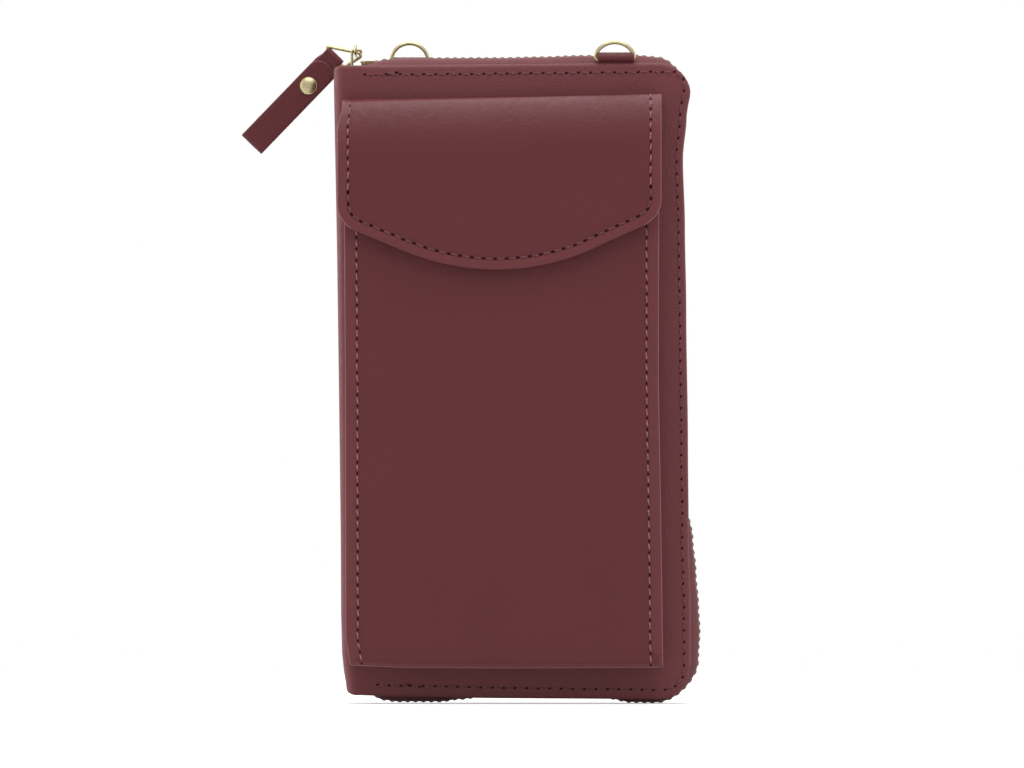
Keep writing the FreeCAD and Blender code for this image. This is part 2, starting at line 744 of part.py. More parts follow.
def make_pocket():
    """Phone pocket: a back panel on the cover, and a flat front panel on a gusset pleated at its sides."""
    backing = size("pocket_backing")
    leather = size("pocket_leather")
    bottom = size("pocket_bottom")
    crease = add(FLAP_AXIS_Z, neg(half(FLAP_STACK)), neg(size("crease_gap")))
    back_outline = rectangle(POCKET_LEFT, POCKET_RIGHT, bottom, crease)
    finish(prism("pocket_back", back_outline, FRONT, backing), "pocket_back")

    body = prism("pocket_front", rectangle(POCKET_LEFT, POCKET_RIGHT, bottom, MOUTH), POCKET_INNER, leather)
    fold = half(add(BACKING_FRONT, POCKET_INNER))
    over_mouth = add(MOUTH, leather)
    outer, inner = [], []
    for pleat, depth in (("0", BACKING_FRONT), (size("gusset_pleat"), fold), ("0", POCKET_INNER)):
        left = add(POCKET_LEFT, size("gusset_inset"), pleat)
        right = add(POCKET_RIGHT, neg(size("gusset_inset")), neg(pleat))
        outer.append((rectangle(left, right, bottom, MOUTH), depth))
        room = rectangle(add(left, leather), add(right, neg(leather)), add(bottom, leather), over_mouth)
        inner.append((room, depth))
    loft(body, "PartDesign::AdditiveLoft", "pocket_gusset", outer)
    loft(body, "PartDesign::SubtractiveLoft", "pocket_room", inner)
    finish(body, "pocket_front")


def flap_outline(inset, top):
    """Corners of the flap: straight top and sides, two flanks that meet in the point."""
    slope = f"{size('flap_slope_angle')} * 1deg"
    point = add(FLAP_POINT, f"({inset}) / cos({slope})")
    reach = add(half(size("flap_width")), neg(inset))
    side = add(point, f"({reach}) * tan({slope})")
    left = add(FLAP_MIDDLE, neg(reach))
    right = add(FLAP_MIDDLE, reach)
    return [(left, side), (FLAP_MIDDLE, point), (right, side), (right, top), (left, top)]


def flap_rounds(outline):
    """Radii of the flap's lower corners and of its point."""
    left, point, right = outline[:3]
    return [([left, right], size("flap_corner")), ([point], size("flap_tip"))]


def make_flap():
    """Flap: a bridge over the pocket's mouth and a panel that hangs down in front of it."""
    leather = size("flap_leather")
    lining = size("flap_lining")
    width = size("flap_width")
    round_radius = half(FLAP_STACK)

    outline = flap_outline("0", FLAP_AXIS_Z)
    panel = prism("flap_panel", outline, FLAP_INNER, leather, flap_rounds(outline))
    edge = rod("flap_crease", "X", (FLAP_LEFT, FLAP_AXIS_Y, FLAP_AXIS_Z), round_radius, width)
    finish(fuse("flap_outer", panel, edge), "flap_outer")
    lining_top = add(FLAP_AXIS_Z, neg(round_radius))
    lining_outline = flap_outline(size("flap_lining_inset"), lining_top)
    flap_lining = prism("flap_lining", lining_outline, FLAP_LINED, lining, flap_rounds(lining_outline))
    finish(flap_lining, "flap_lining")

    bridge_front = add(FLAP_AXIS_Y, round_radius, size("flap_crease_gap"))
    under_leather = add(FLAP_TOP, neg(leather))
    top_leather = box(
        "bridge_leather",
        (FLAP_LEFT, bridge_front, under_leather),
        (FLAP_RIGHT, ROOT_AXIS_Y, FLAP_TOP),
    )
    root = rod("root_crease", "X", (FLAP_LEFT, ROOT_AXIS_Y, FLAP_AXIS_Z), round_radius, width)
    finish(fuse("flap_bridge", top_leather, root), "flap_bridge")
    inset = size("flap_lining_inset")
    bridge_lining = box(
        "bridge_lining",
        (add(FLAP_LEFT, inset), bridge_front, add(under_leather, neg(lining))),
        (add(FLAP_RIGHT, neg(inset)), add(ROOT_AXIS_Y, neg(round_radius)), under_leather),
    )
    finish(bridge_lining, "flap_bridge_lining")


def make_snap():
    """Magnetic snap: a socket on the pocket and a stud on the flap's lining."""
    radius = size("snap_radius")
    stud = size("snap_stud_radius")
    deep = size("snap_socket_height")
    mouth = add(POCKET_FRONT, neg(deep))
    ring = rod("socket_ring", "Y", (FLAP_MIDDLE, mouth, SNAP_Z), radius, deep)
    hole = rod("socket_hole", "Y", (FLAP_MIDDLE, mouth, SNAP_Z), add(stud, size("snap_play")), deep)
    finish(cut("snap_socket", ring, hole), "snap_socket")
    plate = rod("stud_plate", "Y", (FLAP_MIDDLE, FLAP_LINED, SNAP_Z), radius, size("snap_plate"))
    reach = add(size("snap_room"), neg(size("snap_play")))
    pin = rod("stud_pin", "Y", (FLAP_MIDDLE, FLAP_LINED, SNAP_Z), stud, reach)
    finish(fuse("snap_stud", plate, pin), "snap_stud")


make_covers()
make_card_slots()
make_tapes()
make_teeth()
make_stops()
make_slider()
make_pull()
make_drings()
make_pocket()
make_flap()
make_snap()

doc.recompute()
os.makedirs("parts", exist_ok=True)
for thing in doc.Objects:
    if "Invalid" in thing.State or "Error" in thing.State:
        raise RuntimeError(f"{thing.Name} failed: {thing.State}")
for thing in finished:
    if thing.Shape.isNull() or not thing.Shape.isValid():
        raise RuntimeError(f"{thing.Label} has no valid shape")
for thing in finished:
    thing.Shape.exportStep(f"parts/{thing.Label}.step")
    print(f"{thing.Label}: {len(thing.Shape.Solids)} solids, {thing.Shape.Volume:.1f} mm3")
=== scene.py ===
import json
import math
import bmesh
import bpy
import numpy as np
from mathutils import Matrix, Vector


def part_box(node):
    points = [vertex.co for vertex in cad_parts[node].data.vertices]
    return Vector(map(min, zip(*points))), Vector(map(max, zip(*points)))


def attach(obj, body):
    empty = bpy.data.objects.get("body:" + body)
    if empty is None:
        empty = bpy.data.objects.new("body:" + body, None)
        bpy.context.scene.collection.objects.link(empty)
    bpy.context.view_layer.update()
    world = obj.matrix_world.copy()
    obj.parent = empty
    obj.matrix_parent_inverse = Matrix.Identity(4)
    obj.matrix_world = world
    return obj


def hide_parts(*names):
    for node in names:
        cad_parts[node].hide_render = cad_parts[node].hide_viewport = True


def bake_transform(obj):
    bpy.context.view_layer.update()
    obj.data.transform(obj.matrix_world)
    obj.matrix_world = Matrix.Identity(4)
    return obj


# Looks of a zip-around phone wallet. Lengths are millimetres in the part's own frame, front
# towards -Y and spine at -X, and become metres where a mesh is made.

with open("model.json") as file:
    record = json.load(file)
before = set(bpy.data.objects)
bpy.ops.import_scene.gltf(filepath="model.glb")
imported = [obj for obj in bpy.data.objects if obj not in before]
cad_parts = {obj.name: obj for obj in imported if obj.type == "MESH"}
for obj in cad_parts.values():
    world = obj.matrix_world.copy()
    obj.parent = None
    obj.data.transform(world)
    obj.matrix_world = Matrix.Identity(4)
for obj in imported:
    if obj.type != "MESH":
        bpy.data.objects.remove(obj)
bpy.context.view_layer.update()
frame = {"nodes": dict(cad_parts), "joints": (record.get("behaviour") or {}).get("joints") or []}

MM = 0.001
# Angle in degrees from which the edge between two faces shows as a crease
SHARP = 50


def node_box(node):
    """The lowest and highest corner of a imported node, in millimetres."""
    low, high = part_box(node)
    return np.array(low) / MM, np.array(high) / MM


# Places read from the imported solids

COVER_LOW, COVER_HIGH = node_box("front_cover")
BACK_HIGH = node_box("back_cover")[1]
POCKET_LOW, POCKET_HIGH = node_box("pocket_front")
POCKET_BACK_LOW, POCKET_BACK_HIGH = node_box("pocket_back")
FLAP_LOW, FLAP_HIGH = node_box("flap_outer")
TAPE_LOW, TAPE_HIGH = node_box("front_zip_tape")
BACK_TAPE_HIGH = node_box("back_zip_tape")[1]
SLIDER_LOW, SLIDER_HIGH = node_box("zip_slider")
RIVET_LOW, RIVET_HIGH = node_box("rivet_cap")
POST_HIGH = node_box("rivet_post")[1]
SOCKET_LOW, SOCKET_HIGH = node_box("snap_socket")
STUD_LOW, STUD_HIGH = node_box("snap_stud")

HEIGHT = COVER_HIGH[2]
LEFT = COVER_LOW[0]
RIGHT = COVER_HIGH[0]
LEATHER = COVER_HIGH[1] - COVER_LOW[1]
FRONT_MIDDLE = COVER_LOW[1] + LEATHER / 2
BACK_MIDDLE = BACK_HIGH[1] - LEATHER / 2

# Sizes of the look, measured on the photograph

COVER_CORNER = 10.0
CREASE_RADIUS = 2.6
COVER_SEAM = 2.75
COVER_SIDE_SEAM = 2.0
STITCH_PITCH = 3.45
THREAD_RADIUS = 0.22
# Half length and half width of a needle hole
SMALL_HOLE = (0.42, 0.38)
LONG_HOLE = (0.64, 0.42)
SLANT_HOLE = (0.5, 0.34)
# How far a needle hole strays from its seam, and how deep a seam pulls the leather in
UNEVEN = 0.06
GROOVE = 0.08
ZIP_CORNER = 10.6


# Curves and small tools

def ease(share):
    """Smooth step from 0 to 1."""
    share = np.clip(share, 0.0, 1.0)
    return share * share * (3.0 - 2.0 * share)


def onset(at, span):
    """Smooth step from 0 to 1 over a span, given as (start, run)."""
    return ease((at - span[0]) / span[1])


def wave(knots, at):
    """A smooth curve through (place, value) knots, level at each knot."""
    places = np.array([knot[0] for knot in knots], float)
    values = np.array([knot[1] for knot in knots], float)
    at = np.clip(np.asarray(at, float), places[0], places[-1])
    index = np.clip(np.searchsorted(places, at, side="right") - 1, 0, len(places) - 2)
    share = (at - places[index]) / (places[index + 1] - places[index])
    return values[index] + (values[index + 1] - values[index]) * ease(share)


def between(knots, at):
    """A line of straight runs through (place, value) knots."""
    return np.interp(at, *zip(*knots))


def units(vectors):
    """Vectors brought to length one."""
    return vectors / np.linalg.norm(vectors, axis=-1)[..., None]


def left_of(ways):
    """Vectors of length one to the left of ways in a plane."""
    return units(np.stack([-ways[..., 1], ways[..., 0]], -1))


def circle(count):
    """Angles of points spread evenly round a circle."""
    return np.arange(count) * 2 * math.pi / count


def lengths(points):
    """Distance run along a polyline at each of its points."""
    steps = np.linalg.norm(np.diff(points, axis=0), axis=1)
    return np.concatenate([[0.0], np.cumsum(steps)])


def read_rows(rows, run, places):
    """Rows of numbers that are known at each run along a line, read at places between them."""
    return np.stack([np.interp(places, run, column) for column in rows.T], -1)


def resample(points, places):
    """Points of a polyline at the given distances along it."""
    return read_rows(points, lengths(points), places)


def stretch(points, start, end):
    """The part of a polyline between two distances along it."""
    run = lengths(points)
    inner = run[(run > start) & (run < end)]
    return resample(points, np.concatenate([[start], inner, [end]]))


def arc_points(centre, radius, start, turn, steps):
    """Points on an arc, angles in degrees."""
    angles = np.radians(start + turn * np.linspace(0, 1, steps + 1))
    return np.stack([centre[0] + radius * np.cos(angles), centre[1] + radius * np.sin(angles)], 1)


def rounded(points, radii, steps=8):
    """An open polyline whose inner points are rounded with the given radii."""
    points = np.array(points, float)
    made = [points[:1]]
    for index, radius in enumerate(radii, start=1):
        before = units(points[index] - points[index - 1])
        after = units(points[index + 1] - points[index])
        turn = math.acos(np.clip(before @ after, -1, 1))
        reach = radius * math.tan(turn / 2)
        share = np.linspace(0, 1, steps + 1)[:, None]
        start = points[index] - before * reach
        end = points[index] + after * reach
        bend = points[index]
        weight = math.cos(turn / 2)
        top = (1 - share) ** 2 * start + 2 * weight * share * (1 - share) * bend + share ** 2 * end
        made.append(top / ((1 - share) ** 2 + 2 * weight * share * (1 - share) + share ** 2))
    made.append(points[-1:])
    return np.vstack(made)


class Shape:
    """Points, faces and material numbers that are gathered into one mesh."""

    def __init__(self):
        self.points = []
        self.faces = []
        self.kinds = []
        self.count = 0

    def add(self, points, faces, kind=0):
        """Take in a batch of points and faces; kind is one number or one per face."""
        self.points.append(np.asarray(points, float))
        self.faces += [[number + self.count for number in face] for face in faces]
        self.kinds += list(kind) if np.ndim(kind) else [kind] * len(faces)
        self.count += len(points)
        return self


def make_piece(name, shape, materials, sharp=SHARP):
    """A smooth-shaded mesh object from a shape."""
    mesh = bpy.data.meshes.new(name)
    mesh.from_pydata((np.vstack(shape.points) * MM).tolist(), [], shape.faces)
    for material in materials:
        mesh.materials.append(material)
    mesh.polygons.foreach_set("material_index", shape.kinds)
    work = bmesh.new()
    work.from_mesh(mesh)
    bmesh.ops.recalc_face_normals(work, faces=work.faces)
    work.to_mesh(mesh)
    work.free()
    mesh.polygons.foreach_set("use_smooth", [True] * len(mesh.polygons))
    mesh.set_sharp_from_angle(angle=math.radians(sharp))
    mesh.update()
    piece = bpy.data.objects.new(name, mesh)
    bpy.context.scene.collection.objects.link(piece)
    return piece


def strip_faces(rows, columns, around=False, along=False):
    """Quads of a grid of points, closed around its columns or along its rows if asked."""
    faces = []
    for row in range(rows if along else rows - 1):
        for column in range(columns if around else columns - 1):
            right = (column + 1) % columns
            below = (row + 1) % rows
            faces.append([row * columns + column, row * columns + right,
                          below * columns + right, below * columns + column])
    return faces


def tube_faces(rows, columns):
    """Quads of rings of points joined into a tube, and a face over each of its ends."""
    ends = [list(range(columns))[::-1], [(rows - 1) * columns + column for column in range(columns)]]
    return strip_faces(rows, columns, around=True) + ends


class Outline:
    """A closed outline with round corners, run counter-clockwise.

    corners: (across, up, radius, arc steps), with an even number of steps.
    cuts: for each corner, the shares at which the edge that leaves it is divided.
    turns: the four corners at which the sides of the inner grid meet.
    held: the edges that an inset leaves in place.
    """

    LEAST_RADIUS = 0.05

    def __init__(self, corners, cuts, turns=(0, 1, 2, 3), held=()):
        self.places = np.array([corner[:2] for corner in corners], float)
        self.radii = [corner[2] for corner in corners]
        self.arcs = [corner[3] for corner in corners]
        self.cuts = cuts
        self.turns = turns
        self.held = held
        self.marks = []

    def loop(self, inset):
        """Points of the outline moved inwards by inset."""
        count = len(self.places)
        ahead = units(np.roll(self.places, -1, 0) - self.places)
        inward = left_of(ahead)
        shift = [0.0 if edge in self.held else inset for edge in range(count)]
        arcs = []
        for number in range(count):
            into, out = ahead[number - 1], ahead[number]
            first = self.places[number] + inward[number - 1] * shift[number - 1]
            gap = self.places[number] + inward[number] * shift[number] - first
            turning = into[0] * out[1] - into[1] * out[0]
            corner = first + into * (gap[0] * out[1] - gap[1] * out[0]) / turning
            turn = math.acos(np.clip(into @ out, -1, 1))
            radius = max(self.radii[number] - inset, self.LEAST_RADIUS)
            centre = corner + out * radius * math.tan(turn / 2) + inward[number] * radius
            start = math.degrees(math.atan2(-inward[number - 1][1], -inward[number - 1][0]))
            arcs.append(arc_points(centre, radius, start, math.degrees(turn), self.arcs[number]))
        points = []
        middles = []
        for number in range(count):
            middles.append(len(points) + self.arcs[number] // 2)
            points += list(arcs[number])
            end, begin = arcs[number][-1], arcs[(number + 1) % count][0]
            points += [end + (begin - end) * share for share in self.cuts[number]]
        first = middles[self.turns[0]]
        self.marks = [(middles[turn] - first) % len(points) for turn in self.turns]
        return np.roll(np.array(points), -first, 0)

    def grid(self, loop):
        """Points inside a loop, blended from its four sides."""
        closed = np.vstack([loop, loop[:1]])
        marks = self.marks
        low = closed[marks[0]:marks[1] + 1]
        right = closed[marks[1]:marks[2] + 1]
        high = closed[marks[2]:marks[3] + 1][::-1]
        left = closed[marks[3]:][::-1]
        across = (lengths(low) / lengths(low)[-1] + lengths(high) / lengths(high)[-1])[None, :, None] / 2
        up = (lengths(left) / lengths(left)[-1] + lengths(right) / lengths(right)[-1])[:, None, None] / 2
        sides = (1 - up) * low[None] + up * high[None]
        sides = sides + (1 - across) * left[:, None] + across * right[:, None]
        ends = (1 - up) * ((1 - across) * low[0] + across * low[-1])
        return sides - ends - up * ((1 - across) * high[0] + across * high[-1])


def even(count):
    """Shares that divide an edge into count equal runs."""
    return np.arange(1, count) / count


def box_outline(low, high, radii, steps, across, up, held=()):
    """Outline of a rectangle whose edges are divided at shares across and up.

    radii: one for all corners, or one for each from the lower left on. steps: those of each corner's arc.
    """
    places = [(low[0], low[1]), (high[0], low[1]), (high[0], high[1]), (low[0], high[1])]
    corners = [(*place, radius, steps) for place, radius in zip(places, np.broadcast_to(radii, 4))]
    return Outline(corners, [across, up, 1 - across[::-1], 1 - up[::-1]], held=held)


def grid_rim(rows, columns):
    """Numbers of the outer points of a grid, in the order of its loop."""
    low = list(range(columns - 1))
    right = [row * columns + columns - 1 for row in range(rows - 1)]
    high = [(rows - 1) * columns + column for column in range(columns - 1, 0, -1)]
    left = [row * columns for row in range(rows - 1, 0, -1)]
    return np.array(low + right + high + left)


def sheet(outline, profile, place, bands=(), shape=None):
    """A closed sheet: a face, rings over its edge by (inset, height), and its back face.

    bands: (first ring, ring after the last, material number, test) of each strip with a material of its own.
    The test tells for points of the outline whether the strip runs there, and is None if it does all round.
    """
    shape = shape or Shape()
    loops = [outline.loop(inset) for inset, height in profile]
    front = outline.grid(loops[0])
    rows, columns = front.shape[:2]
    rim = grid_rim(rows, columns)

    def at_height(flat, height):
        return place(flat, np.full(len(flat), height))

    points = [at_height(front.reshape(-1, 2), profile[0][1])]
    faces = strip_faces(rows, columns)
    kinds = [0] * len(faces)
    rings = [rim]
    count = rows * columns
    for loop, (inset, height) in list(zip(loops, profile))[1:-1]:
        points.append(at_height(loop, height))
        rings.append(np.arange(len(loop)) + count)
        count += len(loop)
    points.append(at_height(outline.grid(loops[-1]).reshape(-1, 2), profile[-1][1]))
    rings.append(rim + count)
    flipped = [[number + count for number in face[::-1]] for face in strip_faces(rows, columns)]
    faces += flipped
    kinds += [0] * len(flipped)
    for outer, inner in zip(rings[1:], rings[:-1]):
        for step in range(len(inner)):
            after = (step + 1) % len(inner)
            faces.append([inner[step], outer[step], outer[after], inner[after]])
    strips = np.zeros((len(rings) - 1, len(rim)), int)
    for first, last, kind, test in bands:
        strips[first:last, test(loops[0]) if test else np.ones(len(rim), bool)] = kind
    kinds += strips.ravel().tolist()
    return shape.add(np.vstack(points), faces, kinds)


def seam_rings(inset, height):
    """Rings of a face from its middle over the shallow groove that a seam pulls into it."""
    return [(inset + 2.3, height), (inset + 1.1, height), (inset + 0.5, height - GROOVE),
            (inset - 0.5, height - GROOVE), (inset - 1.1, height)]


SEWING = np.random.default_rng(7)
THREAD_RINGS = 7
THREAD_SIDES = 7
# How far the thread slants across its seam, and the share of a stitch that a hole takes at each end
THREAD_DRIFT = 0.12
HOLE_SHARE = 0.2
HOLE_SIDES = 12
# How far the rim of a needle hole stands out of the leather, and how deep the hole goes
HOLE_RAISED = 0.02
HOLE_DEPTH = 0.3


def stitch(path, place, level, shape, hole_size=LONG_HOLE, pitch=STITCH_PITCH, slant=(0.0, 0.0), kind=0):
    """Thread along a path on a surface: each stitch comes out of a hole painted dark, a painted shade, and
    dives into the next.

    The path and the thread are in the surface's own (across, up, height) space, so they follow it.
    slant: a push on the holes' direction away from the seam's. kind: the thread's material number.
    """
    total = lengths(path)[-1]
    count = max(int(round(total / pitch)), 1)
    holes = resample(path, np.linspace(0, total, count + 1))
    holes = holes + SEWING.normal(0, UNEVEN, holes.shape)
    along = np.linspace(0, 1, THREAD_RINGS)
    turn = circle(THREAD_SIDES)
    rod_faces = tube_faces(THREAD_RINGS, THREAD_SIDES)
    for start, end in zip(holes[:-1], holes[1:]):
        line = end - start
        side = left_of(line)
        drift = THREAD_DRIFT * (2 * along - 1)
        middle = start + line * (HOLE_SHARE + (1 - 2 * HOLE_SHARE) * along)[:, None] + side * drift[:, None]
        rise = THREAD_RADIUS * (0.5 - 2.0 * (2 * along - 1) ** 4)
        flat = middle[:, None] + side * (THREAD_RADIUS * np.cos(turn))[None, :, None]
        height = level + rise[:, None] + THREAD_RADIUS * np.sin(turn)[None, :]
        shape.add(place(flat.reshape(-1, 2), height.reshape(-1)), rod_faces, kind)
    ring = HOLE_SIDES
    turn = circle(ring)
    faces = [list(range(ring))] + [[(step + 1) % ring, step, ring] for step in range(ring)]
    ahead = units(np.gradient(holes, axis=0))
    long, wide = hole_size
    slant = np.array(slant)
    for hole, way in zip(holes, ahead):
        way = units(way * (1 if way @ slant >= 0 else -1) + slant)
        side = left_of(way)
        rim = np.outer(np.cos(turn), way) * long + np.outer(np.sin(turn), side) * wide
        height = np.concatenate([np.full(ring, level + HOLE_RAISED), [level - HOLE_DEPTH]])
        shape.add(place(np.vstack([hole + rim, hole[None]]), height), faces, 1)
    return shape


ROD_SIDES = 14
LATHE_SIDES = 40


def rod(path, normal, radius, closed=False, squash=1.0, shape=None):
    """A wire along a path in a plane with the given normal; squash flattens it along that normal."""
    shape = shape or Shape()
    path = np.asarray(path, float)
    ahead = np.roll(path, -1, 0) - np.roll(path, 1, 0) if closed else np.gradient(path, axis=0)
    normal = np.array(normal, float)
    outward = np.cross(units(ahead), normal)
    turn = circle(ROD_SIDES)
    ring = outward[:, None] * np.cos(turn)[None, :, None] + normal * np.sin(turn)[None, :, None] * squash
    points = path[:, None] + ring * radius
    if closed:
        faces = strip_faces(len(path), ROD_SIDES, around=True, along=True)
    else:
        faces = tube_faces(len(path), ROD_SIDES)
    return shape.add(points.reshape(-1, 3), faces)


def lathe(profile, centre, axis_y):
    """A turned piece about a line along Y: profile is (radius, height), height along axis_y."""
    turn = circle(LATHE_SIDES)
    rings = []
    for radius, height in profile:
        rings.append(np.stack([centre[0] + radius * np.cos(turn),
                               np.full(LATHE_SIDES, centre[1] + axis_y * height),
                               centre[2] + radius * np.sin(turn)], 1))
    return Shape().add(np.vstack(rings), tube_faces(len(profile), LATHE_SIDES))


# Materials, with the depth of their relief in metres

LEATHER_GRAIN = 0.00006
CUT_RELIEF = 0.00008
WEAVE_DEPTH = 0.00006
FIBRE_RELIEF = 0.00005
HAIRLINE = 0.00001


def new_material(name, colour, roughness, metallic=0.0, specular=0.5):
    """A material with its uniform values on the shader's own sockets."""
    material = bpy.data.materials.new(name)
    material.use_nodes = True
    tree = material.node_tree
    shader = tree.nodes["Principled BSDF"]
    shader.inputs["Base Color"].default_value = (*colour, 1.0)
    shader.inputs["Roughness"].default_value = roughness
    shader.inputs["Metallic"].default_value = metallic
    shader.inputs["Specular IOR Level"].default_value = specular
    material.diffuse_color = (*colour, 1.0)
    return material, tree, shader


def add_node(tree, kind, settings=None, **inputs):
    """A node with its settings, and its inputs linked or set by their names."""
    made = tree.nodes.new(kind)
    for key, value in (settings or {}).items():
        setattr(made, key, value)
    for key, value in inputs.items():
        socket = made.inputs[key.replace("_", " ")]
        if isinstance(value, bpy.types.NodeSocket):
            tree.links.new(value, socket)
        else:
            socket.default_value = value
    return made


def object_place(tree):
    """The point on the object, in metres."""
    return add_node(tree, "ShaderNodeTexCoord").outputs["Object"]


def noise(tree, place, scale, detail=2.0, roughness=0.5, distortion=0.0):
    """Noise of a given scale per metre, as a value."""
    made = add_node(tree, "ShaderNodeTexNoise", Vector=place, Scale=scale, Detail=detail,
                    Roughness=roughness, Distortion=distortion)
    return made.outputs["Fac"]


def mapped(tree, value, low, high, start=0.0, end=1.0):
    """A value brought from the span start..end to low..high."""
    made = add_node(tree, "ShaderNodeMapRange", Value=value)
    for socket, number in zip(("From Min", "From Max", "To Min", "To Max"), (start, end, low, high)):
        made.inputs[socket].default_value = number
    return made.outputs["Result"]


def summed(tree, first, second, operation="ADD"):
    """Two values joined by an operation."""
    made = tree.nodes.new("ShaderNodeMath")
    made.operation = operation
    tree.links.new(first, made.inputs[0])
    if isinstance(second, bpy.types.NodeSocket):
        tree.links.new(second, made.inputs[1])
    else:
        made.inputs[1].default_value = second
    return made.outputs[0]


def shaded(tree, shader, factor, colour, low, high):
    """Base colour that runs from a darker to a lighter shade of one colour."""
    ramp = add_node(tree, "ShaderNodeValToRGB")
    tree.links.new(factor, ramp.inputs["Fac"])
    for stop, share in zip(ramp.color_ramp.elements, (low, high)):
        stop.color = (*[channel * share for channel in colour], 1.0)
    ramp.color_ramp.elements[0].position = 0.3
    ramp.color_ramp.elements[1].position = 0.7
    tree.links.new(ramp.outputs["Color"], shader.inputs["Base Color"])


def bumped(tree, shader, height, distance):
    """Fine relief from a height value; distance in metres."""
    bump = add_node(tree, "ShaderNodeBump", Height=height, Strength=1.0, Distance=distance)
    tree.links.new(bump.outputs["Normal"], shader.inputs["Normal"])


def leather(name, colour, roughness=0.5):
    """Grained leather: small pebbles, finer creases and a slow drift of tone."""
    material, tree, shader = new_material(name, colour, roughness, specular=0.25)
    place = object_place(tree)
    pebbles = add_node(tree, "ShaderNodeTexVoronoi", {"feature": "SMOOTH_F1"}, Vector=place,
                       Scale=1150.0, Smoothness=0.35).outputs["Distance"]
    creases = noise(tree, place, 520.0, detail=4.0, roughness=0.6, distortion=0.5)
    drift = noise(tree, place, 38.0, detail=3.0)
    shaded(tree, shader, drift, colour, 0.97, 1.03)
    tree.links.new(mapped(tree, creases, roughness - 0.07, roughness + 0.07, 0.3, 0.7),
                   shader.inputs["Roughness"])
    bumped(tree, shader, summed(tree, pebbles, creases), LEATHER_GRAIN)
    return material


def fibrous(name, colour, roughness, scale, detail, light, relief):
    """Bare fibres, as of a cut edge of leather or of pressed board."""
    material, tree, shader = new_material(name, colour, roughness, specular=0.2)
    fibres = noise(tree, object_place(tree), scale, detail=detail, roughness=0.7)
    shaded(tree, shader, fibres, colour, 0.8, light)
    bumped(tree, shader, fibres, relief)
    return material


def woven(name, colour, scale):
    """Woven cloth: ribs one way, crossed by finer ones the other way."""
    material, tree, shader = new_material(name, colour, 0.8, specular=0.25)
    shader.inputs["Sheen Weight"].default_value = 0.15
    shader.inputs["Sheen Roughness"].default_value = 0.4
    place = object_place(tree)
    ribs, picks = [
        add_node(tree, "ShaderNodeTexWave", {"bands_direction": way}, Vector=place, Scale=fine,
                 Distortion=0.4).outputs["Fac"]
        for way, fine in (("X", scale), ("Z", scale * 1.3))]
    weave = summed(tree, ribs, picks, "MULTIPLY")
    shaded(tree, shader, summed(tree, weave, noise(tree, place, 300.0), "MULTIPLY"), colour, 0.8, 1.2)
    bumped(tree, shader, weave, WEAVE_DEPTH)
    return material


def thread(name, colour):
    """Twisted sewing thread."""
    material, tree, shader = new_material(name, colour, 0.6, specular=0.3)
    shader.inputs["Sheen Weight"].default_value = 0.2
    twist = add_node(tree, "ShaderNodeTexWave", {"bands_direction": "DIAGONAL"}, Vector=object_place(tree),
                     Scale=420.0, Distortion=0.6).outputs["Fac"]
    shaded(tree, shader, twist, colour, 0.75, 1.2)
    bumped(tree, shader, twist, FIBRE_RELIEF)
    return material


def painted_shade_needle_hole(name, colour):
    """Needle hole whose inside is painted dark, a painted shade for its depth."""
    material, tree, shader = new_material(name, colour, 0.9, specular=0.1)
    shaded(tree, shader, noise(tree, object_place(tree), 900.0), colour, 0.7, 1.3)
    return material


def metal(name, colour, roughness, stain):
    """Plated metal: hairline polish, with duller patches."""
    material, tree, shader = new_material(name, colour, roughness, metallic=1.0)
    place = object_place(tree)
    patches = noise(tree, place, 190.0, detail=4.0)
    hairs = noise(tree, place, 2200.0, detail=2.0)
    shaded(tree, shader, patches, colour, 1.0 - stain, 1.0 + stain * 0.4)
    tree.links.new(mapped(tree, patches, roughness - 0.06, roughness + 0.12, 0.3, 0.7),
                   shader.inputs["Roughness"])
    bumped(tree, shader, hairs, HAIRLINE)
    return material


LEATHER_LOOK = leather("burgundy_leather", (0.094, 0.0165, 0.020))
# Painted highlight: a lighter leather colour on the pocket's bottom fold, for the light it catches from below
LIT_FOLD_LOOK = leather("painted_lit_fold_leather", (0.19, 0.075, 0.08), roughness=0.55)
# Painted light: a lighter leather colour on the strip between a seam and the edge of the pocket and the flap,
# for the light that strip catches
LIT_RIM_LOOK = leather("painted_lit_rim_leather", (0.118, 0.0255, 0.0295))
# Painted light: the covers take a lighter copy of the leather colour, for the light that reaches them beside
# the pocket
LIT_COVER_LOOK = leather("cover_leather", (0.130, 0.031, 0.036), roughness=0.55)
SLOT_LOOK = leather("card_slot_leather", (0.088, 0.016, 0.0195), roughness=0.55)
# Pale colour of cut leather edges; on the covers' right edges it is a painted highlight
CUT_EDGE_AND_HIGHLIGHT_LOOK = fibrous("leather_cut_edge_and_painted_highlight", (0.20, 0.085, 0.09), 0.75, 1400.0, 3.0, 1.2, CUT_RELIEF)
LINING_LOOK = woven("lining_cloth", (0.075, 0.020, 0.024), 330.0)
TAPE_LOOK = woven("zip_tape_cloth", (0.165, 0.050, 0.055), 420.0)
THREAD_LOOK = thread("sewing_thread", (0.24, 0.11, 0.115))
# Painted shade: a darker copy of the sewing thread's colour, for seams that lie in shade: the covers' seam
# and the flap's lower edge
SHADED_THREAD_LOOK = thread("painted_shade_sewing_thread", (0.118, 0.032, 0.036))
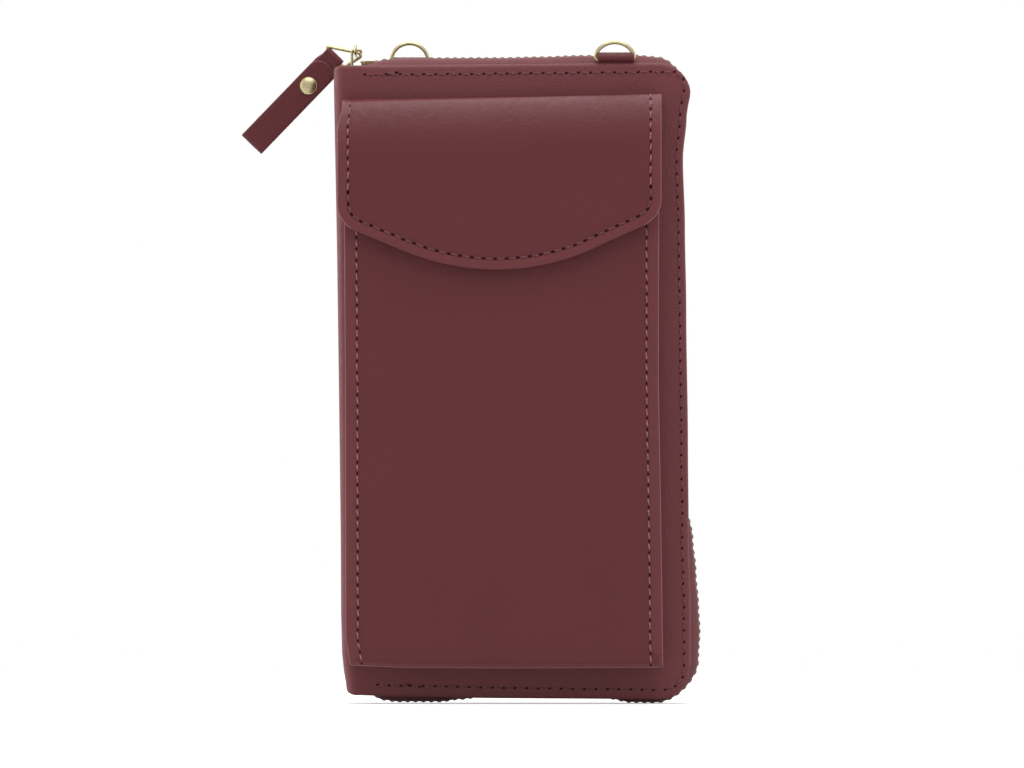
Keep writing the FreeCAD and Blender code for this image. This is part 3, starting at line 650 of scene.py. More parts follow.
# Painted shade: a near-black colour inside the needle holes
SHADED_HOLE_LOOK = painted_shade_needle_hole("painted_shade_needle_hole", (0.022, 0.004, 0.005))
TEETH_LOOK = metal("antique_brass", (0.145, 0.092, 0.05), 0.5, 0.5)
BRASS_LOOK = metal("pale_gold", (0.40, 0.35, 0.20), 0.3, 0.15)
SLIDER_LOOK = metal("aged_gold", (0.24, 0.20, 0.10), 0.34, 0.3)
BOARD_LOOK = fibrous("fibre_board", (0.42, 0.33, 0.24), 0.9, 450.0, 5.0, 1.15, FIBRE_RELIEF)


def add_piece(name, shape, looks, body, slot, *nodes, sharp=SHARP):
    """Make a piece that rides on a body and stands for its nodes; its slot is not used."""
    piece = make_piece(name, shape, looks, sharp)
    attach(piece, body)
    if nodes:
        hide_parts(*nodes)


# Leather shell: front cover, spine and back cover cut from one piece

FRONT_RUN = RIGHT - (LEFT + LEATHER / 2 + CREASE_RADIUS)
CREASE_RUN = CREASE_RADIUS * math.pi / 2
SPINE_RUN = BACK_MIDDLE - FRONT_MIDDLE - 2 * CREASE_RADIUS
SHELL_RUN = 2 * (FRONT_RUN + CREASE_RUN) + SPINE_RUN

# How the soft shell departs from its straight outline: (height, shift) and (across, shift)
LEFT_LEAN = [(0, 2.6), (3, 2.3), (6, 1.8), (9, 1.5), (12, 1.2), (24, 0.9), (47, 0.8), (89, 0.3), (133, -0.3),
             (181, -1.2), (188, -1.3)]
RIGHT_WAVE = [(0, 0.7), (25, 0.8), (50, 0.2), (75, 0.0), (115, -0.5), (140, -0.9), (160, -1.5), (172, -0.4),
              (181, 0.9), (188, 0.9)]
TOP_RISE = [(-52, -0.7), (-50, 0.0), (-20, 0.2), (52, 1.0)]
LOW_RISE = [(-52, 2.1), (-50, 1.2), (-40, 0.9), (-10, 0.3), (52, -0.1)]
# How far the covers fall back towards the zip at their top and right edges, and from how far in
PILLOW = 0.95
PILLOW_REACH = 11.0
PILLOW_BEND = 1.4
# Where the fall along the top sets in beside the spine
PILLOW_ONSET = (4.0, 10.0)


def drape_shell(across, depth, up):
    """Shift points of the shell by its lean, its wavy right edge and its uneven ends."""
    share = np.clip((across - LEFT) / (RIGHT - LEFT), 0, 1)
    lean = between(LEFT_LEAN, up)
    high = between(TOP_RISE, across)
    low = between(LOW_RISE, across)
    grow = up / HEIGHT
    moved = across + lean * (1 - share) + wave(RIGHT_WAVE, up) * share ** 2
    at_top = np.clip(1 - (HEIGHT - up) / PILLOW_REACH, 0, 1) ** PILLOW_BEND
    at_top = at_top * onset(across - LEFT, PILLOW_ONSET)
    at_right = np.clip(1 - (RIGHT - across) / PILLOW_REACH, 0, 1) ** PILLOW_BEND
    middle = (FRONT_MIDDLE + BACK_MIDDLE) / 2
    facing = np.clip((middle - depth) / (middle - FRONT_MIDDLE), -1, 1)
    deep = depth + facing * PILLOW * (at_top + at_right - at_top * at_right)
    return np.stack([moved, deep, up + low * (1 - grow) ** 3 + high * grow ** 3], 1)


def wrap_shell(points, height):
    """Place points of the flat shell, given as (run, up), height off its middle layer."""
    run, up = points[:, 0], points[:, 1]
    first = FRONT_RUN
    second = first + CREASE_RUN
    third = second + SPINE_RUN
    fourth = third + CREASE_RUN
    spine = LEFT + LEATHER / 2
    centre = spine + CREASE_RADIUS
    near, far = FRONT_MIDDLE + CREASE_RADIUS, BACK_MIDDLE - CREASE_RADIUS
    bend = np.where(run < first, 0.0, np.where(run < second, (run - first) / CREASE_RADIUS, math.pi / 2))
    bend = bend + np.clip((run - third) / CREASE_RADIUS, 0, math.pi / 2)
    away = np.stack([-np.sin(bend), -np.cos(bend)], 1)
    across = np.where(run < first, RIGHT - run, np.where(run > fourth, centre + run - fourth, centre))
    depth = np.where(run < second, near, np.where(run > third, far, near + run - second))
    across = across + away[:, 0] * (CREASE_RADIUS + height)
    depth = depth + away[:, 1] * (CREASE_RADIUS + height)
    return drape_shell(across, depth, up)


def shell_cuts(clear):
    """Shares that divide the long edge: even on the covers, close together over the creases."""
    creases = [FRONT_RUN, FRONT_RUN + CREASE_RUN + SPINE_RUN]
    places = [np.linspace(clear, creases[0], 34)[1:-1]]
    places.append(np.linspace(creases[0], creases[0] + CREASE_RUN, 9))
    places.append(np.linspace(creases[0] + CREASE_RUN, creases[1], 7)[1:-1])
    places.append(np.linspace(creases[1], creases[1] + CREASE_RUN, 9))
    places.append(np.linspace(creases[1] + CREASE_RUN, SHELL_RUN - clear, 34)[1:-1])
    return (np.concatenate(places) - clear) / (SHELL_RUN - 2 * clear)


def make_shell():
    """The shell with its turned edge, and the thread round both covers."""
    cuts = shell_cuts(COVER_CORNER)
    outline = box_outline((0, 0), (SHELL_RUN, HEIGHT), COVER_CORNER, 10, cuts, even(60))
    half = LEATHER / 2
    profile = [(inset, half) for inset in (7.0, 5.4, 3.8, 2.4, 1.2)]
    profile += [(0.6, half - 0.06), (0.22, half - 0.28), (0.0, 0.0), (0.15, -half * 0.7), (0.6, -half),
                (2.4, -half), (4.2, -half), (6.0, -half)]

    # Painted highlight: on the covers' right edges the outer rounding takes the pale cut-edge colour, for the
    # light those edges catch
    def highlit_right_edges(points):
        beside = np.minimum(points[:, 0], SHELL_RUN - points[:, 0]) < profile[0][0] + 0.05
        return beside & (abs(points[:, 1] - HEIGHT / 2) < HEIGHT / 2 - COVER_CORNER - 2.0)

    shape = sheet(outline, profile, wrap_shell, [(6, 7, 1, highlit_right_edges)])
    # The covers take the lighter copy of the leather colour, a painted light
    shell = make_piece("leather_shell", shape, [LIT_COVER_LOOK, CUT_EDGE_AND_HIGHLIGHT_LOOK])
    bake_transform(shell)
    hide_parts("front_cover", "spine_panel", "back_cover")
    make_cover_stitching(half)


# The covers' seam: the radii of its corners, how far left of the middle it starts at the top and ends at the
# bottom of the front cover, and how much higher its lower row runs at that end
SEAM_CORNERS = (6.0, 6.0, 3.5, 3.5)
SEAM_LEFT = (43.7, 43.0)
SEAM_RISE = 0.6
# Extra stitches where the front cover's seam was sewn back over itself, in (run, up)
BACK_TACKS = [[(85.7, HEIGHT - 2.1), (88.9, HEIGHT - 2.7)], [(81.6, 3.05), (84.9, 3.45)]]


def make_cover_stitching(level):
    """Thread round the three free edges of both covers."""
    near, far, high = COVER_SIDE_SEAM, SHELL_RUN - COVER_SIDE_SEAM, HEIGHT - COVER_SEAM
    seam_line = box_outline((near, COVER_SEAM), (far, high), SEAM_CORNERS, 8, even(200), even(100))
    loop = seam_line.loop(0.0)
    marks = seam_line.marks
    seam_start, seam_end = RIGHT + SEAM_LEFT[0], RIGHT + SEAM_LEFT[1]
    front = np.vstack([loop[marks[2]:], loop[:marks[1] + 1]])
    high = front[:, 1] > HEIGHT / 2
    front[~high, 1] += SEAM_RISE * front[~high, 0] / seam_end * (front[~high, 1] < 2 * COVER_SEAM)
    front = front[front[:, 0] < np.where(high, seam_start, seam_end)]
    back = loop[:marks[3] + 1]
    back = back[back[:, 0] > SHELL_RUN - seam_start]
    for name, path, body in (("front", front, "front_shell"), ("back", back, "back_shell")):
        seam = stitch(path, wrap_shell, level, Shape(), SLANT_HOLE, slant=(-0.5, 0.5))
        if name == "front":
            for tack in BACK_TACKS:
                stitch(np.array(tack), wrap_shell, level, seam)
        # The covers' thread takes the darker copy of the thread colour, a painted shade
        add_piece(name + "_cover_stitching", seam, [SHADED_THREAD_LOOK, SHADED_HOLE_LOOK], body, "leather")


# Phone pocket: a flat front panel, a pleated gusset behind its edges and a back panel on the cover

POCKET_THICK = 1.0
POCKET_CORNERS = (0.8, 0.8, 1.0, 1.0)
POCKET_SEAM = 3.7
POCKET_FOLD = 1.5
POCKET_EDGE_FALL = 0.45
POCKET_LEFT_LEAN = [(10, 1.5), (14, 0.8), (18, 0.2), (94, 0.1), (140, -0.2), (188, -0.2)]
POCKET_RIGHT_LEAN = [(10, 0.2), (50, -0.3), (95, -1.1), (188, -0.8)]
POCKET_SAG = [(-50, 0.9), (-35, 0.1), (0, -0.2), (45, 0.1)]
# How far the back panel stays below the pocket's top, how far the side seams end from the pocket's bottom
# and top edges, and their pitch
POCKET_BACK_SHORT = 2.0
POCKET_SEAM_ENDS = (0.9, 3.0)
POCKET_PITCH = 3.35
# How far the gusset stays below the pocket's top, its lower corners, and where its inset sets in above them
GUSSET_SHORT = 1.0
GUSSET_CORNER = 3.0
GUSSET_ONSET = (1.0, 8.0)
GUSSET_HALF = 0.4
GUSSET_INSET = 1.4
GUSSET_PLEAT = 2.2


def drape_pocket(across, depth, up):
    """Shift points of the pocket by the lean of its sides and the sag of its bottom edge."""
    share = np.clip((across - POCKET_LOW[0]) / (POCKET_HIGH[0] - POCKET_LOW[0]), 0, 1)
    lean = between(POCKET_LEFT_LEAN, up) * (1 - share)
    lean = lean + between(POCKET_RIGHT_LEAN, up) * share
    sag = between(POCKET_SAG, across) * (1 - np.clip(up / HEIGHT, 0, 1)) ** 4
    return np.stack([across + lean, depth, up + sag], 1)


def place_pocket_back(points, height):
    """Place points of the back panel, which lies on the cover."""
    return drape_pocket(points[:, 0], POCKET_BACK_HIGH[1] - height, points[:, 1])


def place_pocket_front(points, height):
    """Place points of the front panel, which falls back a little at its sides and folds under below."""
    across, up = points[:, 0], points[:, 1]
    from_side = np.minimum(across - POCKET_LOW[0], POCKET_HIGH[0] - across)
    fold = np.clip(1 - (up - POCKET_LOW[2]) / POCKET_FOLD, 0, 1)
    back = POCKET_EDGE_FALL * (1 - ease(from_side / (POCKET_SEAM + 1.0)))
    back = back + POCKET_FOLD * (1 - np.sqrt(1 - fold ** 2))
    return drape_pocket(across, POCKET_LOW[1] + POCKET_THICK + back - height, up)


def pocket_outline(top):
    """Outline of a pocket panel up to a given height."""
    return box_outline(POCKET_LOW[::2], (POCKET_HIGH[0], top), POCKET_CORNERS, 4, even(52), even(72))


def make_gusset():
    """Strip between the two panels, down one side, along the bottom and up the other side."""
    left, right, low = POCKET_LOW[0], POCKET_HIGH[0], POCKET_LOW[2]
    top = POCKET_HIGH[2] - GUSSET_SHORT
    path = rounded([(left, top), (left, low), (right, low), (right, top)], [GUSSET_CORNER] * 2, steps=12)
    path = resample(path, np.linspace(0, lengths(path)[-1], 300))
    run = lengths(path)
    ahead = np.gradient(path, run, axis=0)
    inward = left_of(ahead)
    beside = onset(path[:, 1] - low, GUSSET_ONSET)
    share = np.linspace(0, 1, 13)
    front = POCKET_LOW[1] + POCKET_THICK + POCKET_EDGE_FALL
    depth = front + (POCKET_HIGH[1] - front) * share
    pleat = GUSSET_PLEAT * np.sin(math.pi * share) ** 2
    points = []
    for side in (-GUSSET_HALF, GUSSET_HALF):
        inset = GUSSET_HALF + side + 0.1 + beside[:, None] * (GUSSET_INSET + pleat[None])
        flat = path[:, None] + inward[:, None] * inset[..., None]
        points.append(np.concatenate([flat, np.broadcast_to(depth[None, :, None], inset.shape + (1,))], 2))
    ring = np.concatenate([points[0], points[1][:, ::-1]], 1)
    count = ring.shape[1]
    ring = ring.reshape(-1, 3)
    shape = Shape().add(drape_pocket(ring[:, 0], ring[:, 2], ring[:, 1]), tube_faces(len(path), count))
    add_piece("pocket_gusset", shape, [LEATHER_LOOK], "front_shell", "leather", sharp=60)


def make_pocket():
    """Back panel, front panel, gusset and the two side seams of the pocket."""
    thick = POCKET_BACK_HIGH[1] - POCKET_BACK_LOW[1]
    profile = [(1.5, thick), (0.3, thick), (0.0, thick - 0.2), (0.0, 0.2), (0.2, 0.05), (1.5, 0.05)]
    outline = pocket_outline(POCKET_BACK_HIGH[2] - POCKET_BACK_SHORT)
    back = sheet(outline, profile, place_pocket_back, [(1, 4, 1, None)])
    add_piece("pocket_back_panel", back, [LEATHER_LOOK, CUT_EDGE_AND_HIGHLIGHT_LOOK], "front_shell", "leather", "pocket_back")
    thick = POCKET_THICK
    profile = seam_rings(POCKET_SEAM, thick)
    profile += [(1.2, thick), (0.28, thick - 0.03), (0.1, thick - 0.1), (0.0, thick - 0.32), (0.0, 0.16),
                (0.12, 0.02), (0.6, 0.0), (6.0, 0.0)]

    def at_bottom(points):
        return points[:, 1] < points[:, 1].min() + 0.1

    def at_sides(points):
        return ~at_bottom(points)

    # Painted highlight: the bottom fold (material 2) takes a lighter leather colour for the light it catches
    # from below
    bands = [(3, 6, 3, at_sides), (5, 6, 3, at_bottom), (6, 9, 2, at_bottom), (6, 9, 1, at_sides)]
    front = sheet(pocket_outline(POCKET_HIGH[2]), profile, place_pocket_front, bands)
    # Painted light: material 3 is a lighter leather colour on the strip between the seams and the edges
    looks = [LEATHER_LOOK, CUT_EDGE_AND_HIGHLIGHT_LOOK, LIT_FOLD_LOOK, LIT_RIM_LOOK]
    add_piece("pocket_front_panel", front, looks, "front_shell", "leather", "pocket_front")
    make_gusset()
    seams = Shape()
    low, high = POCKET_LOW[2] + POCKET_SEAM_ENDS[0], POCKET_HIGH[2] - POCKET_SEAM_ENDS[1]
    for across in (POCKET_LOW[0] + POCKET_SEAM, POCKET_HIGH[0] - POCKET_SEAM):
        line = np.array([(across, up) for up in np.linspace(low, high, 60)])
        stitch(line, place_pocket_front, thick - GROOVE, seams, SMALL_HOLE, pitch=POCKET_PITCH)
    add_piece("pocket_stitching", seams, [THREAD_LOOK, SHADED_HOLE_LOOK], "front_shell", "leather")


def bent(section):
    """Placer along a bent strip: points are (across, run), height is to the strip's outer side.

    Gives (across, first, second), where first and second are the section's own two directions.
    """
    run = lengths(section)
    ahead = np.gradient(section, run, axis=0)

    def place(points, height):
        at = points[:, 1]
        line = read_rows(section, run, at)
        line += ahead[0] * np.minimum(at, 0)[:, None] + ahead[-1] * np.maximum(at - run[-1], 0)[:, None]
        way = units(read_rows(ahead, run, at))
        return np.stack([points[:, 0], line[:, 0] + way[:, 1] * height, line[:, 1] - way[:, 0] * height], 1)
    return place


# Flap: leaves the cover above the pocket, rolls over its top and falls to a rounded point

FLAP_HALF = 0.5
FLAP_LINING = 0.5
FLAP_SEAM = 3.2
FLAP_TILT = 0.024
FLAP_SLOPE = 23.7
FLAP_TIP_RADIUS = 68.0
FLAP_CORNER = 8.5
FLAP_LEFT_SHIFT = 0.9
# How far the roll hangs lower than straight, and how far its left end is drawn in
FLAP_SAG = 0.65
FLAP_NARROW = 1.5
# Where tilt, fall, left shift and drawn-in end set in, along or across the flap, and where the last one ends
TILT_ONSET = (3.0, 6.0)
FALL_ONSET = (8.0, 16.0)
SHIFT_ONSET = (0.0, 40.0)
NARROW_ONSET = (42.0, 6.0)
NARROW_END = (4.0, 9.0)
# How much of the tilt is lost further down, and how far above the tip the flap's cut edge keeps the darker
# rim colour instead of its own pale one, a painted shade where the edge faces down
FLAP_LEVELLED = 0.25
FLAP_SHADED_EDGE_REACH = 17.5
# How far past the root's turn the flap's two parts meet, and how far inside the leather its lining ends
FLAP_MEET = 1.6
FLAP_LINING_INSET = 2.0
FLAP_PITCH = 3.4
FLAP_SIDE_STITCHES = 9
FLAP_MIDDLE = (FLAP_LOW[0] + FLAP_HIGH[0]) / 2
ROOT_DEPTH = POCKET_BACK_HIGH[1] - FLAP_HALF
ROOT_LOW = 173.0
ROOT_TURN = 2.3
ROLL_DEPTH = 7.0
ROLL_FALL = 16.5
FLAP_FACE = FLAP_LOW[1] + FLAP_HALF
FLAP_UP = FLAP_HIGH[2] - FLAP_HALF


def flap_section():
    """Middle layer of the flap in (depth, up), from its sewn root over the roll and down its face."""
    root = arc_points((ROOT_DEPTH - ROOT_TURN, FLAP_UP - ROOT_TURN), ROOT_TURN, 0, 90, 10)
    angles = np.radians(90 + 90 * np.linspace(0, 1, 30))
    roll = np.stack([FLAP_FACE + ROLL_DEPTH + ROLL_DEPTH * np.cos(angles),
                     FLAP_UP - ROLL_FALL + ROLL_FALL * np.sin(angles)], 1)
    return np.vstack([[(ROOT_DEPTH, ROOT_LOW)], root, roll, [(FLAP_FACE, FLAP_LOW[2])]])


FLAP_SECTION = flap_section()
FLAP_BENT = bent(FLAP_SECTION)
FLAP_RUN = lengths(FLAP_SECTION)[-1]
FLAP_SPLIT = (FLAP_UP - ROOT_TURN - ROOT_LOW) + ROOT_TURN * math.pi / 2 + FLAP_MEET


def place_flap(points, height):
    """Place points of the flat flap, given as (across, run), a little tilted as it hangs."""
    placed = FLAP_BENT(points, height)
    aside = placed[:, 0] - FLAP_MIDDLE
    start = onset(points[:, 1], TILT_ONSET)
    past = points[:, 1] - FLAP_SPLIT
    fallen = onset(past, FALL_ONSET)
    placed[:, 2] += start * (FLAP_TILT * (1 - FLAP_LEVELLED * fallen) * aside - FLAP_SAG * (1 - fallen))
    placed[:, 0] -= FLAP_LEFT_SHIFT * onset(-aside, SHIFT_ONSET)
    placed[:, 0] += FLAP_NARROW * onset(-aside, NARROW_ONSET) * (1 - onset(past, NARROW_END))
    return placed


def flap_outline(inset=0.0):
    """Outline of the falling part of the flap in (across, run)."""
    left, right = FLAP_LOW[0] + inset, FLAP_HIGH[0] - inset
    slope = math.radians(FLAP_SLOPE)
    tip = FLAP_RUN + FLAP_TIP_RADIUS * (1 / math.cos(slope) - 1) - inset / math.cos(slope)
    side = tip - (right - left) / 2 * math.tan(slope)
    sides = even(60)
    return Outline(
        [(left, FLAP_SPLIT, 0.1, 2), (right, FLAP_SPLIT, 0.1, 2), (right, side, FLAP_CORNER - inset, 8),
         (FLAP_MIDDLE, tip, FLAP_TIP_RADIUS, 24), (left, side, FLAP_CORNER - inset, 8)],
        [even(54), sides, even(12), even(12), sides], turns=(0, 1, 2, 4), held=(0,))


def root_outline(inset=0.0):
    """Outline of the flap's root and bridge in (across, run)."""
    low, high = (FLAP_LOW[0] + inset, inset), (FLAP_HIGH[0] - inset, FLAP_SPLIT)
    return box_outline(low, high, (1.0, 1.0, 0.1, 0.1), 2, even(54), even(24), held=(2,))


# For each part of the flap: the bodies it would bend between, and where that bend would start and end; no
# bend is made from them
FLAP_BLENDS = {
    "root": ("front_shell", "flap_bridge",
             (0, ROOT_DEPTH - 0.1, FLAP_UP - 3.2), (0, ROOT_DEPTH - 3.0, FLAP_UP)),
    "front": ("flap_bridge", "flap",
              (0, FLAP_FACE + ROLL_DEPTH, FLAP_UP), (0, FLAP_FACE, FLAP_UP - 10.5)),
}


def hang_piece(name, shape, looks, part, slot, *nodes):
    """Make a piece of the flap that is shaped over one of the flap's two creases; it is fixed in place, not
    bent.
    """
    piece = make_piece(name, shape, looks)
    first, second, start, end = FLAP_BLENDS[part]
    np.array(start) * MM
    np.array(end) * MM
    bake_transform(piece)
    if nodes:
        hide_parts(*nodes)


def make_flap():
    """Outer leather and lining of the flap in two parts that meet on the bridge, and its stitching."""
    half = FLAP_HALF
    profile = seam_rings(FLAP_SEAM, half)
    profile += [(1.2, half + 0.02), (0.28, half - 0.03), (0.1, half - 0.1), (0.0, half - 0.32),
                (0.0, 0.2 - half), (0.12, 0.04 - half), (0.5, -half), (5.5, -half)]
    under = -half - FLAP_LINING
    lining = [(1.2, under), (0.5, under + 0.03), (0.1, under + 0.15), (0.0, under + 0.3), (0.0, -half + 0.02),
              (1.2, -half + 0.02)]
    outers = {"root": root_outline(), "front": flap_outline()}
    inners = {"root": root_outline(FLAP_LINING_INSET), "front": flap_outline(FLAP_LINING_INSET)}
    nodes = {"root": ("flap_bridge", "flap_bridge_lining"), "front": ("flap_outer", "flap_lining")}

    # Painted shade: near the tip the cut edge keeps the darker rim colour (material 2) instead of its own
    # pale colour (material 1)
    def above_flanks(points):
        return points[:, 1] < FLAP_RUN - FLAP_SHADED_EDGE_REACH

    # Painted light: material 2 is a lighter leather colour on the flap's strip between its seam and its edge
    looks = [LEATHER_LOOK, CUT_EDGE_AND_HIGHLIGHT_LOOK, LIT_RIM_LOOK]
    for part in ("root", "front"):
        outer = sheet(outers[part], profile, place_flap, [(3, 9, 2, None), (6, 9, 1, above_flanks)])
        hang_piece("flap_" + part, outer, looks, part, "leather", nodes[part][0])
        inner = sheet(inners[part], lining, place_flap)
        hang_piece("flap_" + part + "_lining", inner, [LINING_LOOK], part, "lining", nodes[part][1])
    loop = outers["front"].loop(FLAP_SEAM)
    marks = outers["front"].marks
    path = np.vstack([loop[marks[1]:], loop[:1]])
    path = path[path[:, 1] > FLAP_SPLIT + 1.0]
    total = lengths(path)[-1]
    side = FLAP_SIDE_STITCHES * FLAP_PITCH
    seam = Shape()
    # Painted shade: the flap's lower run of thread takes the darker copy of the thread colour (material 2),
    # its sides the thread's own colour
    for start, end, hole, kind in ((0.0, side, SMALL_HOLE, 0), (side, total - side, LONG_HOLE, 2),
                                   (total - side, total, SMALL_HOLE, 0)):
        stitch(stretch(path, start, end), place_flap, half - GROOVE, seam, hole, FLAP_PITCH, kind=kind)
    hang_piece("flap_stitching", seam, [THREAD_LOOK, SHADED_HOLE_LOOK, SHADED_THREAD_LOOK], "front", "leather")


# Zip: two tapes with their teeth round three sides, wavy where the soft wallet pushes it out

# (run from the top left end, outward shift)
ZIP_WAVE = [(0, -2.2), (4, -1.9), (6.5, -1.0), (9, -0.2), (12, 0.3), (16, 0.7), (46, 0.75), (58, 1.0),
            (70, 1.4), (86, 1.5), (93, 1.0), (100, -0.3), (108, -1.7), (116, -2.7), (180, -2.5), (228, -1.6),
            (240, 0.4), (249, 1.3), (260, 2.1), (267, 2.5), (275, 2.1), (284, 1.3), (292, 1.6), (299, 1.5),
            (307, 0.3), (318, -0.4), (342, -0.4), (350, 0.6), (356, 1.3), (369, 1.3), (373, 0.8), (377, -0.9),
            (384, -1.9)]
TAPE_HALF = 0.25
# Radius of the cord in the tape's edge, and how far it lies past the end of the tape's section
CORD_RADIUS = 0.5
CORD_PAST = 0.25
# How far the tapes end short of the spine at the bottom, where it leans in
TAPE_SHORT = 1.9
# (depth from the cover's inner face, outward place, share of the zip's wave)
TAPE_SECTION = [(0.5, -6.5, 0.0), (0.6, -4.0, 0.15), (0.9, -2.9, 0.5), (1.5, -2.1, 0.7), (2.4, -1.2, 0.85),
                (3.4, -0.4, 1.0), (4.6, 0.12, 1.0), (6.3, -0.15, 1.0)]
# (depth from the cover's inner face, half width along the zip, half height)
TOOTH_RINGS = [(5.2, 0.5, 0.62), (5.4, 0.68, 0.88), (6.5, 0.72, 1.0), (7.1, 0.5, 0.92), (7.6, 0.475, 0.9),
               (8.0, 0.36, 0.66)]
STOP_RINGS = [(5.2, 0.6, 0.7), (5.4, 0.85, 0.95), (7.7, 0.85, 0.95), (8.0, 0.6, 0.7)]
# Places of the stops, from the zip's two ends
STOP_PLACES = (2.2, 3.0)
# How far in from the zip's line each row of teeth sits
TOOTH_SINK = {"front": 0.3, "back": 0.55}
TEETH = 161
TEETH_START = 4.4


def zip_line():
    """Line of the zip in (across, up) from its top left end round to its bottom left end."""
    left, right, low, high = TAPE_LOW[0], TAPE_HIGH[0], TAPE_LOW[2], TAPE_HIGH[2]
    corners = [(left, high), (right, high), (right, low), (left, low)]
    line = rounded(corners, [ZIP_CORNER] * 2, steps=30)
    return resample(line, np.linspace(0, lengths(line)[-1], 800))


ZIP_LINE = zip_line()
ZIP_RUN = lengths(ZIP_LINE)
ZIP_AHEAD = np.gradient(ZIP_LINE, ZIP_RUN, axis=0)


def on_zip(run, out, share=1.0):
    """Points in (across, up) at a run along the zip, out from its line; share is that of the wave."""
    base = read_rows(ZIP_LINE, ZIP_RUN, run)
    away = left_of(read_rows(ZIP_AHEAD, ZIP_RUN, run))
    return base + away * (out + wave(ZIP_WAVE, run) * share)[..., None]


def make_tape(side, base, facing):
    """One zip tape, arched from its seam in the cover to the corded edge that carries the teeth."""
    depth, out, share = np.array(TAPE_SECTION).T
    away = left_of(np.gradient(np.stack([depth, out], 1), axis=0)) * TAPE_HALF
    cord = arc_points((depth[-1] + CORD_PAST, out[-1]), CORD_RADIUS, 140, -280, 8)
    depth = np.concatenate([depth + away[:, 0], cord[:, 0], (depth - away[:, 0])[::-1]])
    out = np.concatenate([out + away[:, 1], cord[:, 1], (out - away[:, 1])[::-1]])
    share = np.concatenate([share, np.ones(len(cord)), share[::-1]])
    runs = np.linspace(0, ZIP_RUN[-1] - TAPE_SHORT, 400)
    flat = on_zip(np.repeat(runs[:, None], len(depth), 1), np.tile(out, (len(runs), 1)), share[None])
    deep = np.broadcast_to(base + facing * depth, flat.shape[:2])
    points = np.stack([flat[..., 0], deep, flat[..., 1]], -1)
    shape = Shape().add(points.reshape(-1, 3), tube_faces(len(runs), len(depth)))
    add_piece(side + "_tape", shape, [TAPE_LOOK], side + "_shell", "zip_tape", side + "_zip_tape", sharp=70)


def clamps(runs, rings, base, facing, low):
    """Rounded blocks clamped on the tape's corded edge at runs along the zip; low is how far in they sit."""
    sides = 12
    turn = circle(sides)
    along = np.sign(np.cos(turn)) * np.abs(np.cos(turn)) ** 0.5
    rise = np.sign(np.sin(turn)) * np.abs(np.sin(turn)) ** 0.5
    rings = np.array(rings)
    faces = tube_faces(len(rings), sides)
    shape = Shape()
    for run in runs:
        flat = on_zip(run + rings[:, 1:2] * along, rings[:, 2:3] * rise - low)
        deep = np.broadcast_to(base + facing * rings[:, :1], flat.shape[:2])
        shape.add(np.stack([flat[..., 0], deep, flat[..., 1]], -1).reshape(-1, 3), faces)
    return shape


def make_teeth(side, base, facing, shift):
    """One row of teeth, set off along the zip by a shift in pitches, and the stops at its ends."""
    pitch = (ZIP_RUN[-1] - 2 * TEETH_START) / (TEETH - 1)
    teeth = TEETH_START + (np.arange(TEETH) + shift) * pitch
    stops = (STOP_PLACES[0], ZIP_RUN[-1] - STOP_PLACES[1])
    for name, runs, rings in (("teeth", teeth, TOOTH_RINGS), ("stops", stops, STOP_RINGS)):
        shape = clamps(runs, rings, base, facing, TOOTH_SINK[side])
        add_piece(side + "_" + name, shape, [TEETH_LOOK], side + "_shell", "zip_metal", side + "_zip_" + name)


def make_zip():
    """Both tapes and both rows of teeth, set half a pitch apart."""
    make_tape("front", TAPE_LOW[1], 1)
    make_tape("back", BACK_TAPE_HIGH[1], -1)
    make_teeth("front", TAPE_LOW[1], 1, 0.0)
    make_teeth("back", BACK_TAPE_HIGH[1], -1, -0.5)


# Slider, pull and rings

JOINTS = {joint["name"]: joint for joint in frame["joints"]}
PLATE = 0.6
# The slider sits where the zip starts to dip at its left end: its shift along and down the zip
SLIDER_ALONG = 3.1
SLIDER_DIP = 1.3
# How far the upper plate lies below the link's bar, the plates' corners and edges, the rails' width, their
# gap at both ends and the rounding of rails and post
PLATE_DROP = 1.85
PLATE_CORNER = 1.5
PLATE_EDGE = 0.16
RAIL_WIDE = 0.8
RAIL_GAP = 0.9
RAIL_EDGE = 0.1
BRIDGE_WIRE = 0.38
# The bridge's foot and hooked end, along the zip from the link, and the height of its root
BRIDGE_FOOT = -1.05
BRIDGE_END = 1.65
BRIDGE_HOOK = 0.9
BRIDGE_ROOT = 187.4


def joint_place(name):
    """A joint's point, in millimetres."""
    return np.array(JOINTS[name]["pos_m"]) / MM


def add_plate(shape, outline, base, thick, edge):
    """Add a level plate with rounded edges, up from a base; its outline is in (across, depth)."""
    def place(points, height):
        return np.stack([points[:, 0], points[:, 1], base + height], 1)

    profile = [(edge * 3, thick), (edge, thick), (edge * 0.3, thick - edge * 0.3), (0.0, thick - edge),
               (0.0, edge), (edge * 0.3, edge * 0.3), (edge, 0.0), (edge * 3, 0.0)]
    sheet(outline, profile, place, shape=shape)


